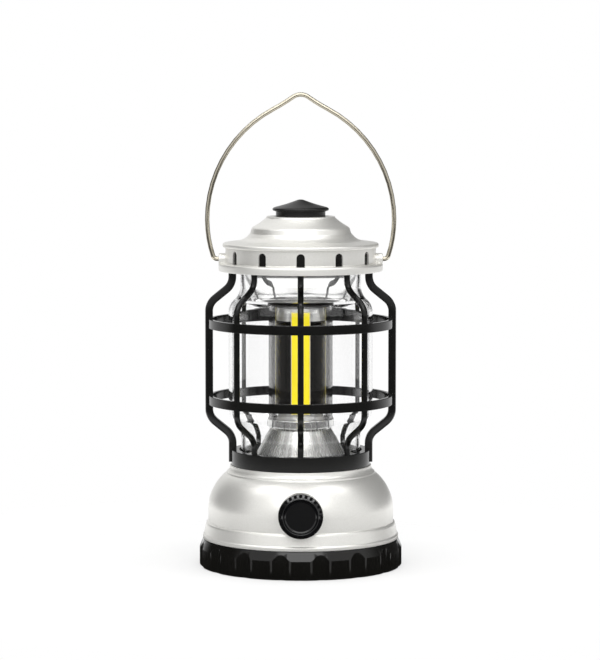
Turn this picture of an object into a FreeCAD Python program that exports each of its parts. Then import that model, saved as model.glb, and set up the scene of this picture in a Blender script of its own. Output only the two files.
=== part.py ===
import FreeCAD, Part
import math
import os

# Camping lantern: a caged clear globe on a bell-shaped battery base, under a vented cap with a wire bail.
# Millimetres, +Z up. The origin is the centre of the foot, on the surface that the lantern stands on.
# The front of the lantern, with the dimmer knob, faces -Y.

# Fits shared by all the pieces
slip = 0.1  # gap between fixed pieces that are slipped together
running = 0.06  # radial clearance of a pin or shaft that turns in its bore
clearance = 0.4  # room between curved faces that move past each other

# Battery cover: a moulded cup with a raised thread ring inside
cover_radius = 62.5
cover_height = 17.0
cover_edge = 1.0
cover_bevel_height = 5.4
cover_bevel_depth = 2.3
cover_rim_wall = 2.6
cover_floor = 2.0
cover_thread_wall = 2.4
cover_thread_rise = 2.0
flute_count = 16
flute_width = 10.4
flute_depth = 1.6

# Cover seal: a flat gasket in the channel of the cover
seal_height = 3.0

# Housing: a painted bell with a screw skirt, a lip, a band, a round shoulder and a neck
cover_gap = 0.3
skirt_wall = 3.2
lip_overhang = 0.2
lip_height = 2.0
lip_chamfer = 0.8
band_inset = 1.9
band_flare = 1.1
band_height = 7.3
band_step = 0.9
barrel_inset = 1.3
shoulder_radius = 26.0
crease_step = 0.3
crease_drop = 0.924
neck_ledge = 0.8
neck_flare = 2.2
neck_flare_height = 4.2
neck_flare_bow = -0.58
housing_wall = 2.2
spigot_height = 6.5
spigot_wall = 1.4
deck_thickness = 1.5
deck_hole_radius = 9.0

# Three D cells in a round carrier
cell_count = 3
cell_radius = 17.1
cell_length = 61.5
cell_nub_radius = 4.75
cell_nub_height = 1.5
cell_gap = 1.48
reversed_cell = 1  # the cell that stands on its nub
bay_wall = 1.2
bay_lift = 5.7
lug_width = 9.0
lug_length = 12.0
lug_height = 3.0
carrier_screw_radius = 1.3
carrier_screw_head_radius = 2.1
carrier_screw_head_height = 1.8
carrier_boss_radius = 2.5
carrier_boss_height = 3.0

# Contact disc with its three keys, and the contacts at both ends of the cells
disc_radius = 40.0
disc_thickness = 1.2
key_radius = 2.1
key_gap = 0.55
key_height = 13.7
leaf_height = 2.2
leaf_width = 8.0
leaf_length = 18.0
leaf_thickness = 0.4
leaf_flat = 6.0
contact_plate_radius = 9.0

# Dimmer: potentiometer, board, nut, washer, shaft and knob, on an axis along Y
knob_drop = 23.0
pad_radius = 9.0
pad_rise = 1.7
pad_depth = 6.1
pot_radius = 8.0
pot_depth = 8.7
bushing_radius = 3.5
bushing_length = 8.8
shaft_radius = 3.0
shaft_depth = 3.0
washer_radius = 6.2
washer_thickness = 0.5
nut_across_flats = 10.0
nut_thickness = 1.8
board_width = 28.0
board_height = 26.0
board_thickness = 1.6
knob_gap = 0.7
knob_radius = 13.5
knob_depth = 10.0
knob_bevel_depth = 2.6
knob_bevel_height = 2.6
knob_dish_radius = 10.6
knob_face_radius = 9.4
knob_dish_depth = 1.8
knob_dish_bow = 0.2
knob_recess_radius = 8.2
knob_recess_depth = 3.0
knob_bore_depth = 4.0
knob_flute_count = 24
knob_flute_radius = 0.95
knob_flute_inset = 1.0

# Globe and its gaskets. From here on, heights start at the top of the housing's neck.
globe_belly = 44.4
globe_low_neck = 36.8
globe_high_neck = 37.2
globe_wall = 2.0
globe_bend = 10.0
globe_low_run = 8.8
globe_low_bulge = 18.0
globe_high_run = 11.8
globe_high_bulge = 15.0
globe_gap = 1.0
gasket_height = 1.2
gasket_wall = 3.4

# Cage: base ring, two hoops, round ribs, deeper side ribs and a top ring, split at Y = 0
rib_count = 8
rib_radius = 1.85
rib_globe_gap = 10.1
rib_bend = 10.0
rib_low_run = 13.0
rib_bulge_height = 21.2
rib_high_run = 4.5
side_rib_depth = 4.8
side_rib_width = 4.4
side_rib_chamfer = 1.4
side_rib_proud = 1.9
side_rib_inset = 0.7
side_rib_foot = 1.5
base_ring_cover = 1.1
base_ring_wall = 1.6
base_ring_height = 9.3
base_flange_thickness = 2.4
hoop_cover = 0.45
hoop_wall = 2.5
hoop_height = 5.6
low_hoop_rise = 6.15
high_hoop_drop = 7.3
cage_height = 122.5
top_flange_thickness = 2.0
top_ring_cover = 0.4
top_ring_wall = 1.8
top_ring_height = 10.9
cage_screw_angles = (60, 120, 240, 300)
cage_screw_radius = 1.1
cage_screw_head_radius = 2.0
cage_screw_head_height = 1.2

# Lamp: reflectors, post with plated ends, light strips and the inner tube with its rings
reflector_wall = 1.2
low_reflector_foot = 27.8
low_reflector_head = 18.2
low_reflector_height = 17.5
tube_base_rim = 0.7
tube_base_height = 5.0
tube_base_floor = 2.0
wire_hole_radius = 6.0
tube_radius = 19.8
tube_wall = 1.5
tube_cap_rim = 0.4
tube_cap_overlap = 0.7
tube_cap_thickness = 2.3
post_radius = 15.3
post_wall = 2.5
post_foot_height = 7.5
post_height = 56.0
post_head_height = 8.9
strip_count = 3
strip_width = 11.8
strip_thickness = 0.9
strip_foot_overlap = 1.5
strip_head_overlap = 5.5
high_reflector_foot = 20.0
high_reflector_rim = 34.6
high_reflector_run = 5.5
high_reflector_bow = 4.4

# Top plate, collar and dome
# Heights of the collar, the dome and the bail start at the top of the cage's flange.
top_plate_thickness = 2.0
collar_gap = 0.3
collar_wall = 1.2
collar_ledge = 0.8
rim_overhang = 4.2
rim_drop = 2.7
rim_height = 5.0
rim_chamfer = 1.6
drum_height = 9.5
slot_width = 5.0
slot_height = 7.9
slot_angles = (30, 60, 90, 120, 150, 210, 240, 270, 300, 330)
dome_overhang = 1.7
dome_brim_height = 2.4
dome_brim_round = 1.2
dome_brim_bow = -0.35
dome_brim_chamfer = 0.6
dome_slope_radius = 38.6
dome_slope_rise = 1.3
dome_slope_bow = 1.02
dome_under_slope = 0.15
dome_step_radius = 31.0
dome_step_rise = 4.6
dome_step_height = 3.2
dome_step_chamfer = 0.9
dome_crown_radius = 21.4
dome_crown_rise = 5.4
dome_crown_bow = 0.23
dome_crown_chamfer = 0.45
dome_crown_edge = 1.0
dome_wall = 1.8
dome_spigot_depth = 2.4
dome_spigot_wall = 1.4

# Finial and its screw
finial_neck_radius = 15.2
finial_neck_height = 3.0
finial_overhang = 2.1
finial_edge_height = 1.2
finial_chamfer_height = 0.72
finial_chamfer_depth = 1.2
finial_slope_rise = 4.66
finial_bow = 0.5
finial_point_radius = 1.2
finial_screw_radius = 1.65
finial_screw_head_radius = 3.6
finial_screw_head_height = 2.3
finial_screw_depth = 5.0

# Bail: one bent wire that turns in the two ears of the collar
bail_wire_radius = 1.4
bail_pivot_rise = 2.2
bail_side_gap = 6.9
bail_waist_rise = 23.9
bail_low_radius = 70.0
bail_high_radius = 77.0
bail_hook_radius = 2.6
bail_rise_angle = 28.0
bail_peak_angle = 35.0
bail_peak_radius = 8.0
bail_pin_depth = 3.5
bail_pin_gap = 0.3
ear_setback = 0.1
ear_width = 7.0

Z_AXIS = FreeCAD.Vector(0, 0, 1)
ORIGIN = FreeCAD.Vector(0, 0, 0)
FRONT = FreeCAD.Vector(0, -1, 0)


def vec(x, y, z):
    return FreeCAD.Vector(x, y, z)


def outline_edges(start, moves):
    """Edges in the XZ plane. A move is an end point for a line, or a middle and an end point for an arc."""
    edges = []
    here = vec(start[0], 0, start[1])
    for move in moves:
        if isinstance(move[0], tuple):
            middle = vec(move[0][0], 0, move[0][1])
            end = vec(move[1][0], 0, move[1][1])
            edges.append(Part.Arc(here, middle, end).toShape())
        else:
            end = vec(move[0], 0, move[1])
            edges.append(Part.LineSegment(here, end).toShape())
        here = end
    return edges


def bowed(start, end, bow):
    """An arc move from start to end. It leaves its chord by bow, to the left where positive."""
    across = end[0] - start[0]
    rise = end[1] - start[1]
    share = bow / math.hypot(across, rise)
    middle = ((start[0] + end[0]) / 2 - rise * share, (start[1] + end[1]) / 2 + across * share)
    return (middle, end)


def revolve(start, *moves):
    """A full turn about Z of a closed outline of (radius, height) points."""
    face = Part.Face(Part.Wire(outline_edges(start, moves + (start,))))
    return face.revolve(ORIGIN, Z_AXIS, 360)


def cylinder(radius, low, high):
    return Part.makeCylinder(radius, high - low, vec(0, 0, low))


def ring(outer, inner, low, high):
    return cylinder(outer, low, high).cut(cylinder(inner, low, high))


def turned(shape, degrees):
    """A copy turned about the lantern's axis."""
    copy = shape.copy()
    copy.rotate(ORIGIN, Z_AXIS, degrees)
    return copy


def rod_along_y(radius, front, back):
    """A round bar on the dimmer's axis, from front to back in distance before the lantern's axis."""
    return Part.makeCylinder(radius, front - back, vec(0, -back, knob_height), FRONT)


def fuse_all(shapes):
    return shapes[0].multiFuse(shapes[1:]).removeSplitter()


def save(name, *solids, lift=ORIGIN):
    """Writes a node as one solid, or as a group of separate solids, raised by lift."""
    shape = solids[0] if len(solids) == 1 else Part.makeCompound(list(solids))
    shape = shape.translated(lift)
    for solid in shape.Solids:
        if not solid.isValid():
            raise ValueError(name + " is not a valid solid")
    shape.exportStep(os.path.join("parts", name + ".step"))


def double_bend(start, end, bend_radius):
    """Moves from a vertical run to another one beside it: two equal arcs and the line between them."""
    across = abs(end[0] - start[0])
    rise = abs(end[1] - start[1])
    side = math.copysign(1, end[0] - start[0])
    up = math.copysign(1, end[1] - start[1])
    largest = (across ** 2 + rise ** 2) / (4 * across)
    radius = min(bend_radius, largest - slip)
    straight = math.sqrt((across - 2 * radius) ** 2 + rise ** 2 - 4 * radius ** 2)
    turn = math.atan2(2 * radius, straight) + math.atan2(across - 2 * radius, rise)

    def first(angle):
        return (start[0] + side * radius * (1 - math.cos(angle)), start[1] + up * radius * math.sin(angle))

    def second(angle):
        return (end[0] - side * radius * (1 - math.cos(angle)), end[1] - up * radius * math.sin(angle))

    return [(first(turn / 2), first(turn)), second(turn), (second(turn / 2), end)]


def swept(edges, section):
    """A bar: the section face is carried along a path of lines and tangent arcs."""
    pieces = []
    for edge in edges:
        if isinstance(edge.Curve, Part.Line):
            shift = edge.lastVertex().Point - edge.firstVertex().Point
            pieces.append(section.extrude(shift))
            section = section.translated(shift)
        else:
            turn = math.degrees(edge.LastParameter - edge.FirstParameter)
            pieces.append(section.revolve(edge.Curve.Center, edge.Curve.Axis, turn))
            section = section.rotated(edge.Curve.Center, edge.Curve.Axis, turn)
    return fuse_all(pieces)


def round_face(centre, normal, radius):
    return Part.Face(Part.Wire(Part.Circle(centre, normal, radius).toShape()))


# Sizes and places of the base that follow from the sizes above
cover_rim_radius = cover_radius - cover_bevel_depth
cover_inner = cover_rim_radius - cover_rim_wall
cover_thread_top = cover_height + cover_thread_rise
skirt_outer = cover_inner - clearance
skirt_inner = skirt_outer - skirt_wall
thread_outer = skirt_inner - clearance
thread_inner = thread_outer - cover_thread_wall
skirt_bottom = cover_floor + seal_height + 2 * slip
lip_radius = cover_rim_radius + lip_overhang
lip_bottom = cover_height + cover_gap
lip_top = lip_bottom + lip_height
band_radius = lip_radius - band_inset
band_top = lip_top + band_height
barrel_radius = band_radius - barrel_inset
disc_bottom = cover_floor + slip
disc_top = disc_bottom + disc_thickness
cell_bottom = disc_top + leaf_height
cell_top = cell_bottom + cell_length
deck_bottom = cell_top + slip + leaf_thickness
deck_top = deck_bottom + deck_thickness
neck_top = deck_top - spigot_height
bay_inner = cell_radius + clearance
bay_outer = bay_inner + bay_wall
bay_bottom = disc_top + bay_lift
bay_top = deck_bottom - slip
cell_spread = (2 * cell_radius + cell_gap) / (2 * math.sin(math.pi / cell_count))
cell_angles = [90 + index * 360 / cell_count for index in range(cell_count)]
gap_angles = [angle + 180 / cell_count for angle in cell_angles]
groove_side = cell_spread * math.sin(math.pi / cell_count)
groove_reach = math.sqrt((bay_outer + key_radius + key_gap) ** 2 - groove_side ** 2)
groove_spread = cell_spread * math.cos(math.pi / cell_count) + groove_reach
knob_height = neck_top - knob_drop
pad_face = barrel_radius + pad_rise
pad_back = pad_face - pad_depth
knob_back = pad_face + knob_gap

# Sizes and places of the cage, the globe and the lamp, with heights from the top of the neck
deck_level = spigot_height
globe_bottom = deck_level + gasket_height
globe_top = cage_height - gasket_height
globe_low_shoulder = globe_bottom + globe_low_run
globe_low_belly = globe_low_shoulder + globe_low_bulge
globe_high_shoulder = globe_top - globe_high_run
globe_high_belly = globe_high_shoulder - globe_high_bulge
base_flange_inner = globe_low_neck + globe_gap
rib_neck = base_flange_inner + rib_radius + slip
rib_belly = globe_belly + rib_globe_gap
base_ring_radius = rib_neck + rib_radius + base_ring_cover
spigot_radius = base_ring_radius - base_ring_wall - slip
spigot_inner = spigot_radius - spigot_wall
neck_radius = base_ring_radius + neck_ledge
side_rib_neck = base_ring_radius - side_rib_inset
side_rib_belly = rib_belly + side_rib_proud
hoop_radius = rib_belly + rib_radius + hoop_cover
top_flange_low = cage_height - top_flange_thickness
top_flange_inner = globe_high_neck + globe_gap
top_ring_radius = side_rib_neck + side_rib_depth / 2 + top_ring_cover
top_ring_inner = top_ring_radius - top_ring_wall
rib_low_belly = rib_low_run + rib_bulge_height
rib_high_neck = top_flange_low - rib_high_run
rib_high_belly = rib_high_neck - rib_bulge_height
cage_screw_level = (spigot_height - deck_thickness) / 2
low_reflector_top = deck_level + low_reflector_height
tube_base_top = low_reflector_top + tube_base_height
tube_foot = low_reflector_top + tube_base_floor
tube_socket = tube_radius + slip
tube_base_radius = tube_socket + tube_base_rim
tube_cap_radius = tube_socket + tube_cap_rim
post_low = tube_foot + post_foot_height
post_top = post_low + post_height
tube_top = post_top + post_head_height + slip
tube_cap_top = tube_top + tube_cap_thickness
strip_low = post_low - strip_foot_overlap
strip_high = post_top + strip_head_overlap

# Sizes and places of the cap, with heights from the top of the cage's flange
collar_inner = top_ring_radius + collar_gap
collar_radius = collar_inner + collar_wall
rim_radius = collar_radius + rim_overhang
rim_low = -rim_drop
rim_top = rim_low + rim_height
collar_top = rim_top + drum_height
dome_brim_radius = collar_radius + dome_overhang
dome_brim_low = collar_top + slip
dome_brim_top = dome_brim_low + dome_brim_height
dome_slope_top = dome_brim_top + dome_slope_rise
dome_step_low = dome_slope_top + dome_step_rise
dome_step_high = dome_step_low + dome_step_height
dome_crown_low = dome_step_high + dome_step_chamfer + dome_crown_rise
dome_top = dome_crown_low + dome_crown_edge
finial_radius = finial_neck_radius + finial_overhang
ear_outer = rim_radius - ear_setback
bail_pivot = rim_top + bail_pivot_rise
bail_waist = bail_pivot + bail_waist_rise
bail_half_width = rim_radius + bail_side_gap
bail_pin_end = ear_outer - bail_pin_depth

# Lifts from these starting heights to the foot of the lantern
cage_lift = vec(0, 0, neck_top)
cap_lift = vec(0, 0, neck_top + cage_height)


def make_base_cover():
    """Fluted cup. The flutes run out through the bevel in round arches."""
    cup = revolve(
        (0, 0),
        (cover_radius - cover_edge, 0),
        (cover_radius, cover_edge),
        (cover_radius, cover_height - cover_bevel_height),
        (cover_rim_radius, cover_height),
        (cover_inner, cover_height),
        (cover_inner, cover_floor),
        (thread_outer, cover_floor),
        (thread_outer, cover_thread_top),
        (thread_inner, cover_thread_top),
        (thread_inner, cover_floor),
        (0, cover_floor),
    )
    half = flute_width / 2
    sagitta = cover_radius - math.sqrt(cover_radius ** 2 - half ** 2)
    depth = flute_depth - sagitta
    cutter_radius = (half ** 2 + depth ** 2) / (2 * depth)
    cutter = Part.makeCylinder(
        cutter_radius, cover_height, vec(cover_radius - flute_depth + cutter_radius, 0, 0))
    pitch = 360 / flute_count
    return cup.cut([turned(cutter, 90 + (index + 0.5) * pitch) for index in range(flute_count)])


def make_housing():
    """Bell with a screw skirt, a spigot for the cage, a deck over the cells and a pad for the dimmer."""
    centre_r = barrel_radius - shoulder_radius
    flare_bottom = (neck_radius + neck_flare, neck_top - neck_flare_height)
    shoulder_end = flare_bottom[0] + crease_step
    crease = flare_bottom[1] - crease_drop

    def shoulder_rise(radius, at_radius):
        return math.sqrt(radius ** 2 - (at_radius - centre_r) ** 2)

    barrel_top = crease - shoulder_rise(shoulder_radius, shoulder_end)

    def shoulder_arc(radius, end_r):
        """Middle and end of the shoulder's arc, from end_r down to the barrel."""
        end_angle = math.acos((end_r - centre_r) / radius)
        middle = (centre_r + radius * math.cos(end_angle / 2), barrel_top + radius * math.sin(end_angle / 2))
        return (middle, (centre_r + radius, barrel_top))

    inner_radius = shoulder_radius - housing_wall
    inner_crease = barrel_top + shoulder_rise(inner_radius, spigot_radius)
    barrel_inner = barrel_radius - housing_wall
    bell = revolve(
        (0, deck_bottom),
        (0, deck_top),
        (spigot_radius, deck_top),
        (spigot_radius, neck_top),
        (neck_radius, neck_top),
        bowed((neck_radius, neck_top), flare_bottom, neck_flare_bow),
        (shoulder_end, crease),
        shoulder_arc(shoulder_radius, shoulder_end),
        (barrel_radius, band_top + band_step),
        (band_radius - band_step / 2, band_top + band_step / 2),
        (band_radius, band_top - band_step / 2),
        (band_radius + band_flare, lip_top + lip_chamfer),
        (lip_radius, lip_top),
        (lip_radius, lip_bottom),
        (skirt_outer, lip_bottom),
        (skirt_outer, skirt_bottom),
        (skirt_inner, skirt_bottom),
        (skirt_inner, cover_thread_top + clearance),
        (barrel_inner, band_top + band_step),
        (barrel_inner, barrel_top),
        (shoulder_arc(inner_radius, spigot_radius)[0], (spigot_radius, inner_crease)),
        (spigot_inner, inner_crease),
        (spigot_inner, deck_bottom),
    )
    pad = rod_along_y(pad_radius, pad_face, pad_back)
    bosses = []
    holes = [cylinder(deck_hole_radius, deck_bottom, deck_top)]
    for angle in gap_angles:
        boss = Part.makeCylinder(
            carrier_boss_radius, carrier_boss_height + deck_thickness, vec(groove_spread, 0, deck_bottom))
        bosses.append(turned(boss, angle))
        hole = Part.makeCylinder(
            carrier_screw_radius + slip, carrier_boss_height, vec(groove_spread, 0, deck_bottom))
        holes.append(turned(hole, angle))
    holes.append(rod_along_y(bushing_radius + slip, pad_face + slip, pad_back - slip))
    holes.append(rod_along_y(pot_radius + clearance, pad_back, pad_back - pot_depth))
    for angle in cage_screw_angles:
        start = vec(spigot_inner - spigot_wall, 0, neck_top + cage_screw_level)
        hole = Part.makeCylinder(cage_screw_radius + slip, spigot_wall * 3, start, vec(1, 0, 0))
        holes.append(turned(hole, angle))
    return fuse_all([bell, pad] + bosses).cut(holes)


def cell_places():
    return [vec(cell_spread * math.cos(math.radians(angle)), cell_spread * math.sin(math.radians(angle)), 0)
            for angle in cell_angles]


def make_cells():
    """Three cells; the middle one stands on its nub, so that the contacts link them in series."""
    cells = []
    for index, place in enumerate(cell_places()):
        upside_down = index == reversed_cell
        body_low = cell_bottom + (cell_nub_height if upside_down else 0)
        nub_low = cell_bottom if upside_down else cell_top - cell_nub_height
        body = cylinder(cell_radius, body_low, body_low + cell_length - cell_nub_height)
        nub = cylinder(cell_nub_radius, nub_low, nub_low + cell_nub_height)
        cell = body.fuse(nub).removeSplitter()
        cell.translate(place)
        cells.append(cell)
    return cells


def make_carrier():
    """Three joined bays, open below, with lugs in the grooves between them for the screws."""
    outer = []
    inner = []
    for place in cell_places():
        bay = cylinder(bay_outer, bay_bottom, bay_top)
        bay.translate(place)
        outer.append(bay)
        bore = cylinder(bay_inner, bay_bottom, bay_top)
        bore.translate(place)
        inner.append(bore)
    holes = []
    for angle in gap_angles:
        lug = Part.makeBox(
            lug_length, lug_width, lug_height,
            vec(groove_spread + carrier_boss_radius - lug_length, -lug_width / 2, bay_top - lug_height))
        outer.append(turned(lug, angle))
        hole = Part.makeCylinder(
            carrier_screw_radius + slip, lug_height, vec(groove_spread, 0, bay_top - lug_height))
        holes.append(turned(hole, angle))
    return fuse_all(outer).cut(inner + holes)


def make_carrier_screws():
    screws = []
    head_top = bay_top - lug_height
    for angle in gap_angles:
        head = cylinder(carrier_screw_head_radius, head_top - carrier_screw_head_height, head_top)
        shank = cylinder(carrier_screw_radius, head_top, deck_bottom + carrier_boss_height - slip)
        screw = head.fuse(shank).removeSplitter()
        screw.translate(vec(groove_spread, 0, 0))
        screws.append(turned(screw, angle))
    return screws


def make_contact_disc():
    """Disc that lies in the cover, keyed to the carrier by three posts in the grooves between the bays."""
    posts = [cylinder(disc_radius, disc_bottom, disc_top)]
    for angle in gap_angles:
        post = Part.makeCylinder(key_radius, disc_thickness + key_height, vec(groove_spread, 0, disc_bottom))
        posts.append(turned(post, angle))
    return fuse_all(posts)


def make_lower_contacts():
    """Bent spring leaves: a foot on the disc, a slope, and a flat that presses on the cell."""
    leaves = []
    press = cell_bottom - slip
    slope_start = leaf_flat - leaf_length / 2
    slope_end = leaf_length / 2 - leaf_flat
    for place in cell_places():
        points = [
            (-leaf_length / 2, disc_top), (slope_start, disc_top), (slope_end, press - leaf_thickness),
            (leaf_length / 2, press - leaf_thickness), (leaf_length / 2, press), (slope_end, press),
            (slope_start, disc_top + leaf_thickness), (-leaf_length / 2, disc_top + leaf_thickness)]
        corners = [vec(x, -leaf_width / 2, z) for x, z in points]
        leaf = Part.Face(Part.makePolygon(corners + corners[:1])).extrude(vec(0, leaf_width, 0))
        leaf.translate(place)
        leaves.append(leaf)
    return leaves


def make_upper_contacts():
    plates = []
    for place in cell_places():
        plate = cylinder(contact_plate_radius, deck_bottom - leaf_thickness, deck_bottom)
        plate.translate(place)
        plates.append(plate)
    return plates


def make_dimmer_pot():
    can = rod_along_y(pot_radius, pad_back - slip, pad_back - slip - pot_depth)
    bushing = rod_along_y(bushing_radius, pad_back + bushing_length, pad_back - slip)
    bore = rod_along_y(shaft_radius + running, pad_back + bushing_length, pad_back - shaft_depth - slip)
    return can.fuse(bushing).cut(bore)


def make_dimmer_nut():
    """Hexagon on the bushing, in front of the washer."""
    front = pad_face + washer_thickness + nut_thickness
    corner = nut_across_flats / math.sqrt(3)
    corners = []
    for index in range(7):
        angle = math.radians(60 * index)
        corners.append(vec(corner * math.cos(angle), -front, knob_height + corner * math.sin(angle)))
    hexagon = Part.Face(Part.makePolygon(corners)).extrude(vec(0, nut_thickness, 0))
    return hexagon.cut(rod_along_y(bushing_radius + slip, front, front - nut_thickness))


def make_dimmer_washer():
    front = pad_face + washer_thickness
    bore = rod_along_y(bushing_radius + slip, front, pad_face)
    return rod_along_y(washer_radius, front, pad_face).cut(bore)


def make_driver_board():
    back = pad_back - slip - pot_depth
    return Part.makeBox(
        board_width, board_thickness, board_height,
        vec(-board_width / 2, -back, knob_height - board_height / 2))


def make_knob():
    """Skirted knob with a bevelled, fluted rim and a dished face."""
    face = knob_depth - knob_dish_depth
    side = knob_depth - knob_bevel_height
    rim = knob_radius - knob_bevel_depth
    body = revolve(
        (0, 0),
        (knob_radius, 0),
        (knob_radius, side),
        (rim, knob_depth),
        (knob_dish_radius, knob_depth),
        bowed((knob_dish_radius, knob_depth), (knob_face_radius, face), knob_dish_bow),
        (0, face),
    )
    cuts = [cylinder(knob_recess_radius, 0, knob_recess_depth)]
    cuts.append(cylinder(shaft_radius + slip / 4, knob_recess_depth, knob_recess_depth + knob_bore_depth))
    for index in range(knob_flute_count):
        scallop = Part.makeCylinder(
            knob_flute_radius, knob_depth, vec(knob_radius - knob_flute_inset, 0, side))
        cuts.append(turned(scallop, index * 360 / knob_flute_count))
    knob = body.cut(cuts)
    knob.rotate(ORIGIN, vec(1, 0, 0), 90)
    knob.translate(vec(0, -knob_back, knob_height))
    return knob


def make_dimmer_shaft():
    front = knob_back + knob_recess_depth + knob_bore_depth - slip
    return rod_along_y(shaft_radius, front, pad_back - shaft_depth)


def rib_edges(neck, belly, foot, head):
    """A rib's centre line, from its foot in the base ring to its head in the top ring."""
    moves = [(neck, rib_low_run)]
    moves += double_bend((neck, rib_low_run), (belly, rib_low_belly), rib_bend)
    moves += [(belly, rib_high_belly)]
    moves += double_bend((belly, rib_high_belly), (neck, rib_high_neck), rib_bend)
    moves += [(neck, head)]
    return outline_edges((neck, foot), moves)


def make_cage():
    """The whole cage, before it is split: rings and hoops with ribs that swell round the globe."""
    socket = spigot_radius + slip
    flange_low = base_ring_height - base_flange_thickness
    top_ring_top = cage_height + top_ring_height
    base = revolve(
        (socket, 0),
        (base_ring_radius, 0),
        (base_ring_radius, base_ring_height),
        (base_flange_inner, base_ring_height),
        (base_flange_inner, flange_low),
        (socket, flange_low),
    )
    top = revolve(
        (top_flange_inner, top_flange_low),
        (top_ring_radius, top_flange_low),
        (top_ring_radius, top_ring_top),
        (top_ring_inner, top_ring_top),
        (top_ring_inner, cage_height),
        (top_flange_inner, cage_height),
    )
    hoops = [
        ring(hoop_radius, hoop_radius - hoop_wall, middle - hoop_height / 2, middle + hoop_height / 2)
        for middle in (rib_low_belly + low_hoop_rise, rib_high_belly - high_hoop_drop)]
    foot = base_ring_height - base_flange_thickness / 2
    head = top_flange_low + top_flange_thickness / 2
    section = round_face(vec(rib_neck, 0, foot), Z_AXIS, rib_radius)
    rib = swept(rib_edges(rib_neck, rib_belly, foot, head), section)
    inner = side_rib_neck - side_rib_depth / 2
    outer = side_rib_neck + side_rib_depth / 2
    half = side_rib_width / 2
    flat = half - side_rib_chamfer
    section_points = [
        (inner, -half), (outer - side_rib_chamfer, -half), (outer, -flat),
        (outer, flat), (outer - side_rib_chamfer, half), (inner, half)]
    corners = [vec(x, y, side_rib_foot) for x, y in section_points]
    side_section = Part.Face(Part.makePolygon(corners + corners[:1]))
    side_rib = swept(rib_edges(side_rib_neck, side_rib_belly, side_rib_foot, head), side_section)
    side_rib = side_rib.cut(cylinder(socket, side_rib_foot - slip, flange_low))
    side_rib = side_rib.cut(ring(hoop_radius, top_ring_radius, top_flange_low, head + slip))
    pieces = [base, top] + hoops
    for index in range(rib_count):
        at_side = index % (rib_count // 2) == 0
        pieces.append(turned(side_rib if at_side else rib, index * 360 / rib_count))
    cage = fuse_all(pieces)
    holes = []
    for angle in cage_screw_angles:
        hole = Part.makeCylinder(
            cage_screw_radius + slip / 2, base_ring_radius - spigot_inner - slip * 3,
            vec(spigot_inner, 0, cage_screw_level), vec(1, 0, 0))
        holes.append(turned(hole, angle))
    return cage.cut(holes)


def make_cage_half(cage, side):
    """One half of the cage: side is -1 for the front, 1 for the rear."""
    reach = 2 * side_rib_belly
    start = slip / 2 if side > 0 else -slip / 2 - reach
    height = cage_height + 2 * top_ring_height
    return cage.common(Part.makeBox(2 * reach, reach, height, vec(-reach, start, 0)))


def make_cage_screws():
    screws = []
    for angle in cage_screw_angles:
        seat = math.sqrt(spigot_inner ** 2 - cage_screw_head_radius ** 2)
        head = Part.makeCylinder(
            cage_screw_head_radius, cage_screw_head_height,
            vec(seat - cage_screw_head_height, 0, cage_screw_level), vec(1, 0, 0))
        shank = Part.makeCylinder(
            cage_screw_radius, base_ring_radius - seat - slip * 4, vec(seat, 0, cage_screw_level),
            vec(1, 0, 0))
        screws.append(turned(head.fuse(shank).removeSplitter(), angle))
    return screws


def make_globe():
    """Blown-shape chimney: a belly between two necks, with the same wall all the way."""
    outer = [(globe_low_neck, globe_low_shoulder)]
    outer += double_bend((globe_low_neck, globe_low_shoulder), (globe_belly, globe_low_belly), globe_bend)
    outer += [(globe_belly, globe_high_belly)]
    outer += double_bend((globe_belly, globe_high_belly), (globe_high_neck, globe_high_shoulder), globe_bend)
    outer += [(globe_high_neck, globe_top)]
    low = globe_low_neck - globe_wall
    belly = globe_belly - globe_wall
    high = globe_high_neck - globe_wall
    inner = [(high, globe_top), (high, globe_high_shoulder)]
    inner += double_bend((high, globe_high_shoulder), (belly, globe_high_belly), globe_bend)
    inner += [(belly, globe_low_belly)]
    inner += double_bend((belly, globe_low_belly), (low, globe_low_shoulder), globe_bend)
    inner += [(low, globe_bottom)]
    return revolve((globe_low_neck, globe_bottom), *outer, *inner)


def make_low_reflector():
    """Plated cone that stands on the deck and carries the lamp."""
    inner_top = low_reflector_top - reflector_wall
    return revolve(
        (low_reflector_foot - reflector_wall, deck_level),
        (low_reflector_foot, deck_level),
        (low_reflector_head, low_reflector_top),
        (wire_hole_radius, low_reflector_top),
        (wire_hole_radius, inner_top),
        (low_reflector_head - reflector_wall, inner_top),
    )


def make_tube_base():
    return revolve(
        (wire_hole_radius, low_reflector_top),
        (tube_base_radius, low_reflector_top),
        (tube_base_radius, tube_base_top),
        (tube_socket, tube_base_top),
        (tube_socket, tube_foot),
        (wire_hole_radius, tube_foot),
    )


def make_tube_cap():
    """Ring over the end of the inner tube, closed towards the upper reflector."""
    return revolve(
        (0, tube_top),
        (tube_socket, tube_top),
        (tube_socket, tube_top - tube_cap_overlap),
        (tube_cap_radius, tube_top - tube_cap_overlap),
        (tube_cap_radius, tube_cap_top),
        (0, tube_cap_top),
    )


def strip_seat():
    """Distance of a strip's flat from the axis."""
    return math.sqrt(post_radius ** 2 - (strip_width / 2) ** 2)


def strip_angles():
    return [270 + index * 360 / strip_count for index in range(strip_count)]


def make_post_piece(low, high):
    """A length of the hollow lamp post, with a flat for each light strip."""
    flats = []
    for angle in strip_angles():
        cutter = Part.makeBox(
            post_radius, strip_width, strip_high - strip_low, vec(strip_seat(), -strip_width / 2, strip_low))
        flats.append(turned(cutter, angle))
    return ring(post_radius, post_radius - post_wall, low, high).cut(flats)


def make_strips():
    strips = []
    for angle in strip_angles():
        strip = Part.makeBox(
            strip_thickness, strip_width - 2 * slip, strip_high - strip_low - 2 * slip,
            vec(strip_seat(), slip - strip_width / 2, strip_low + slip))
        strips.append(turned(strip, angle))
    return strips


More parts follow.
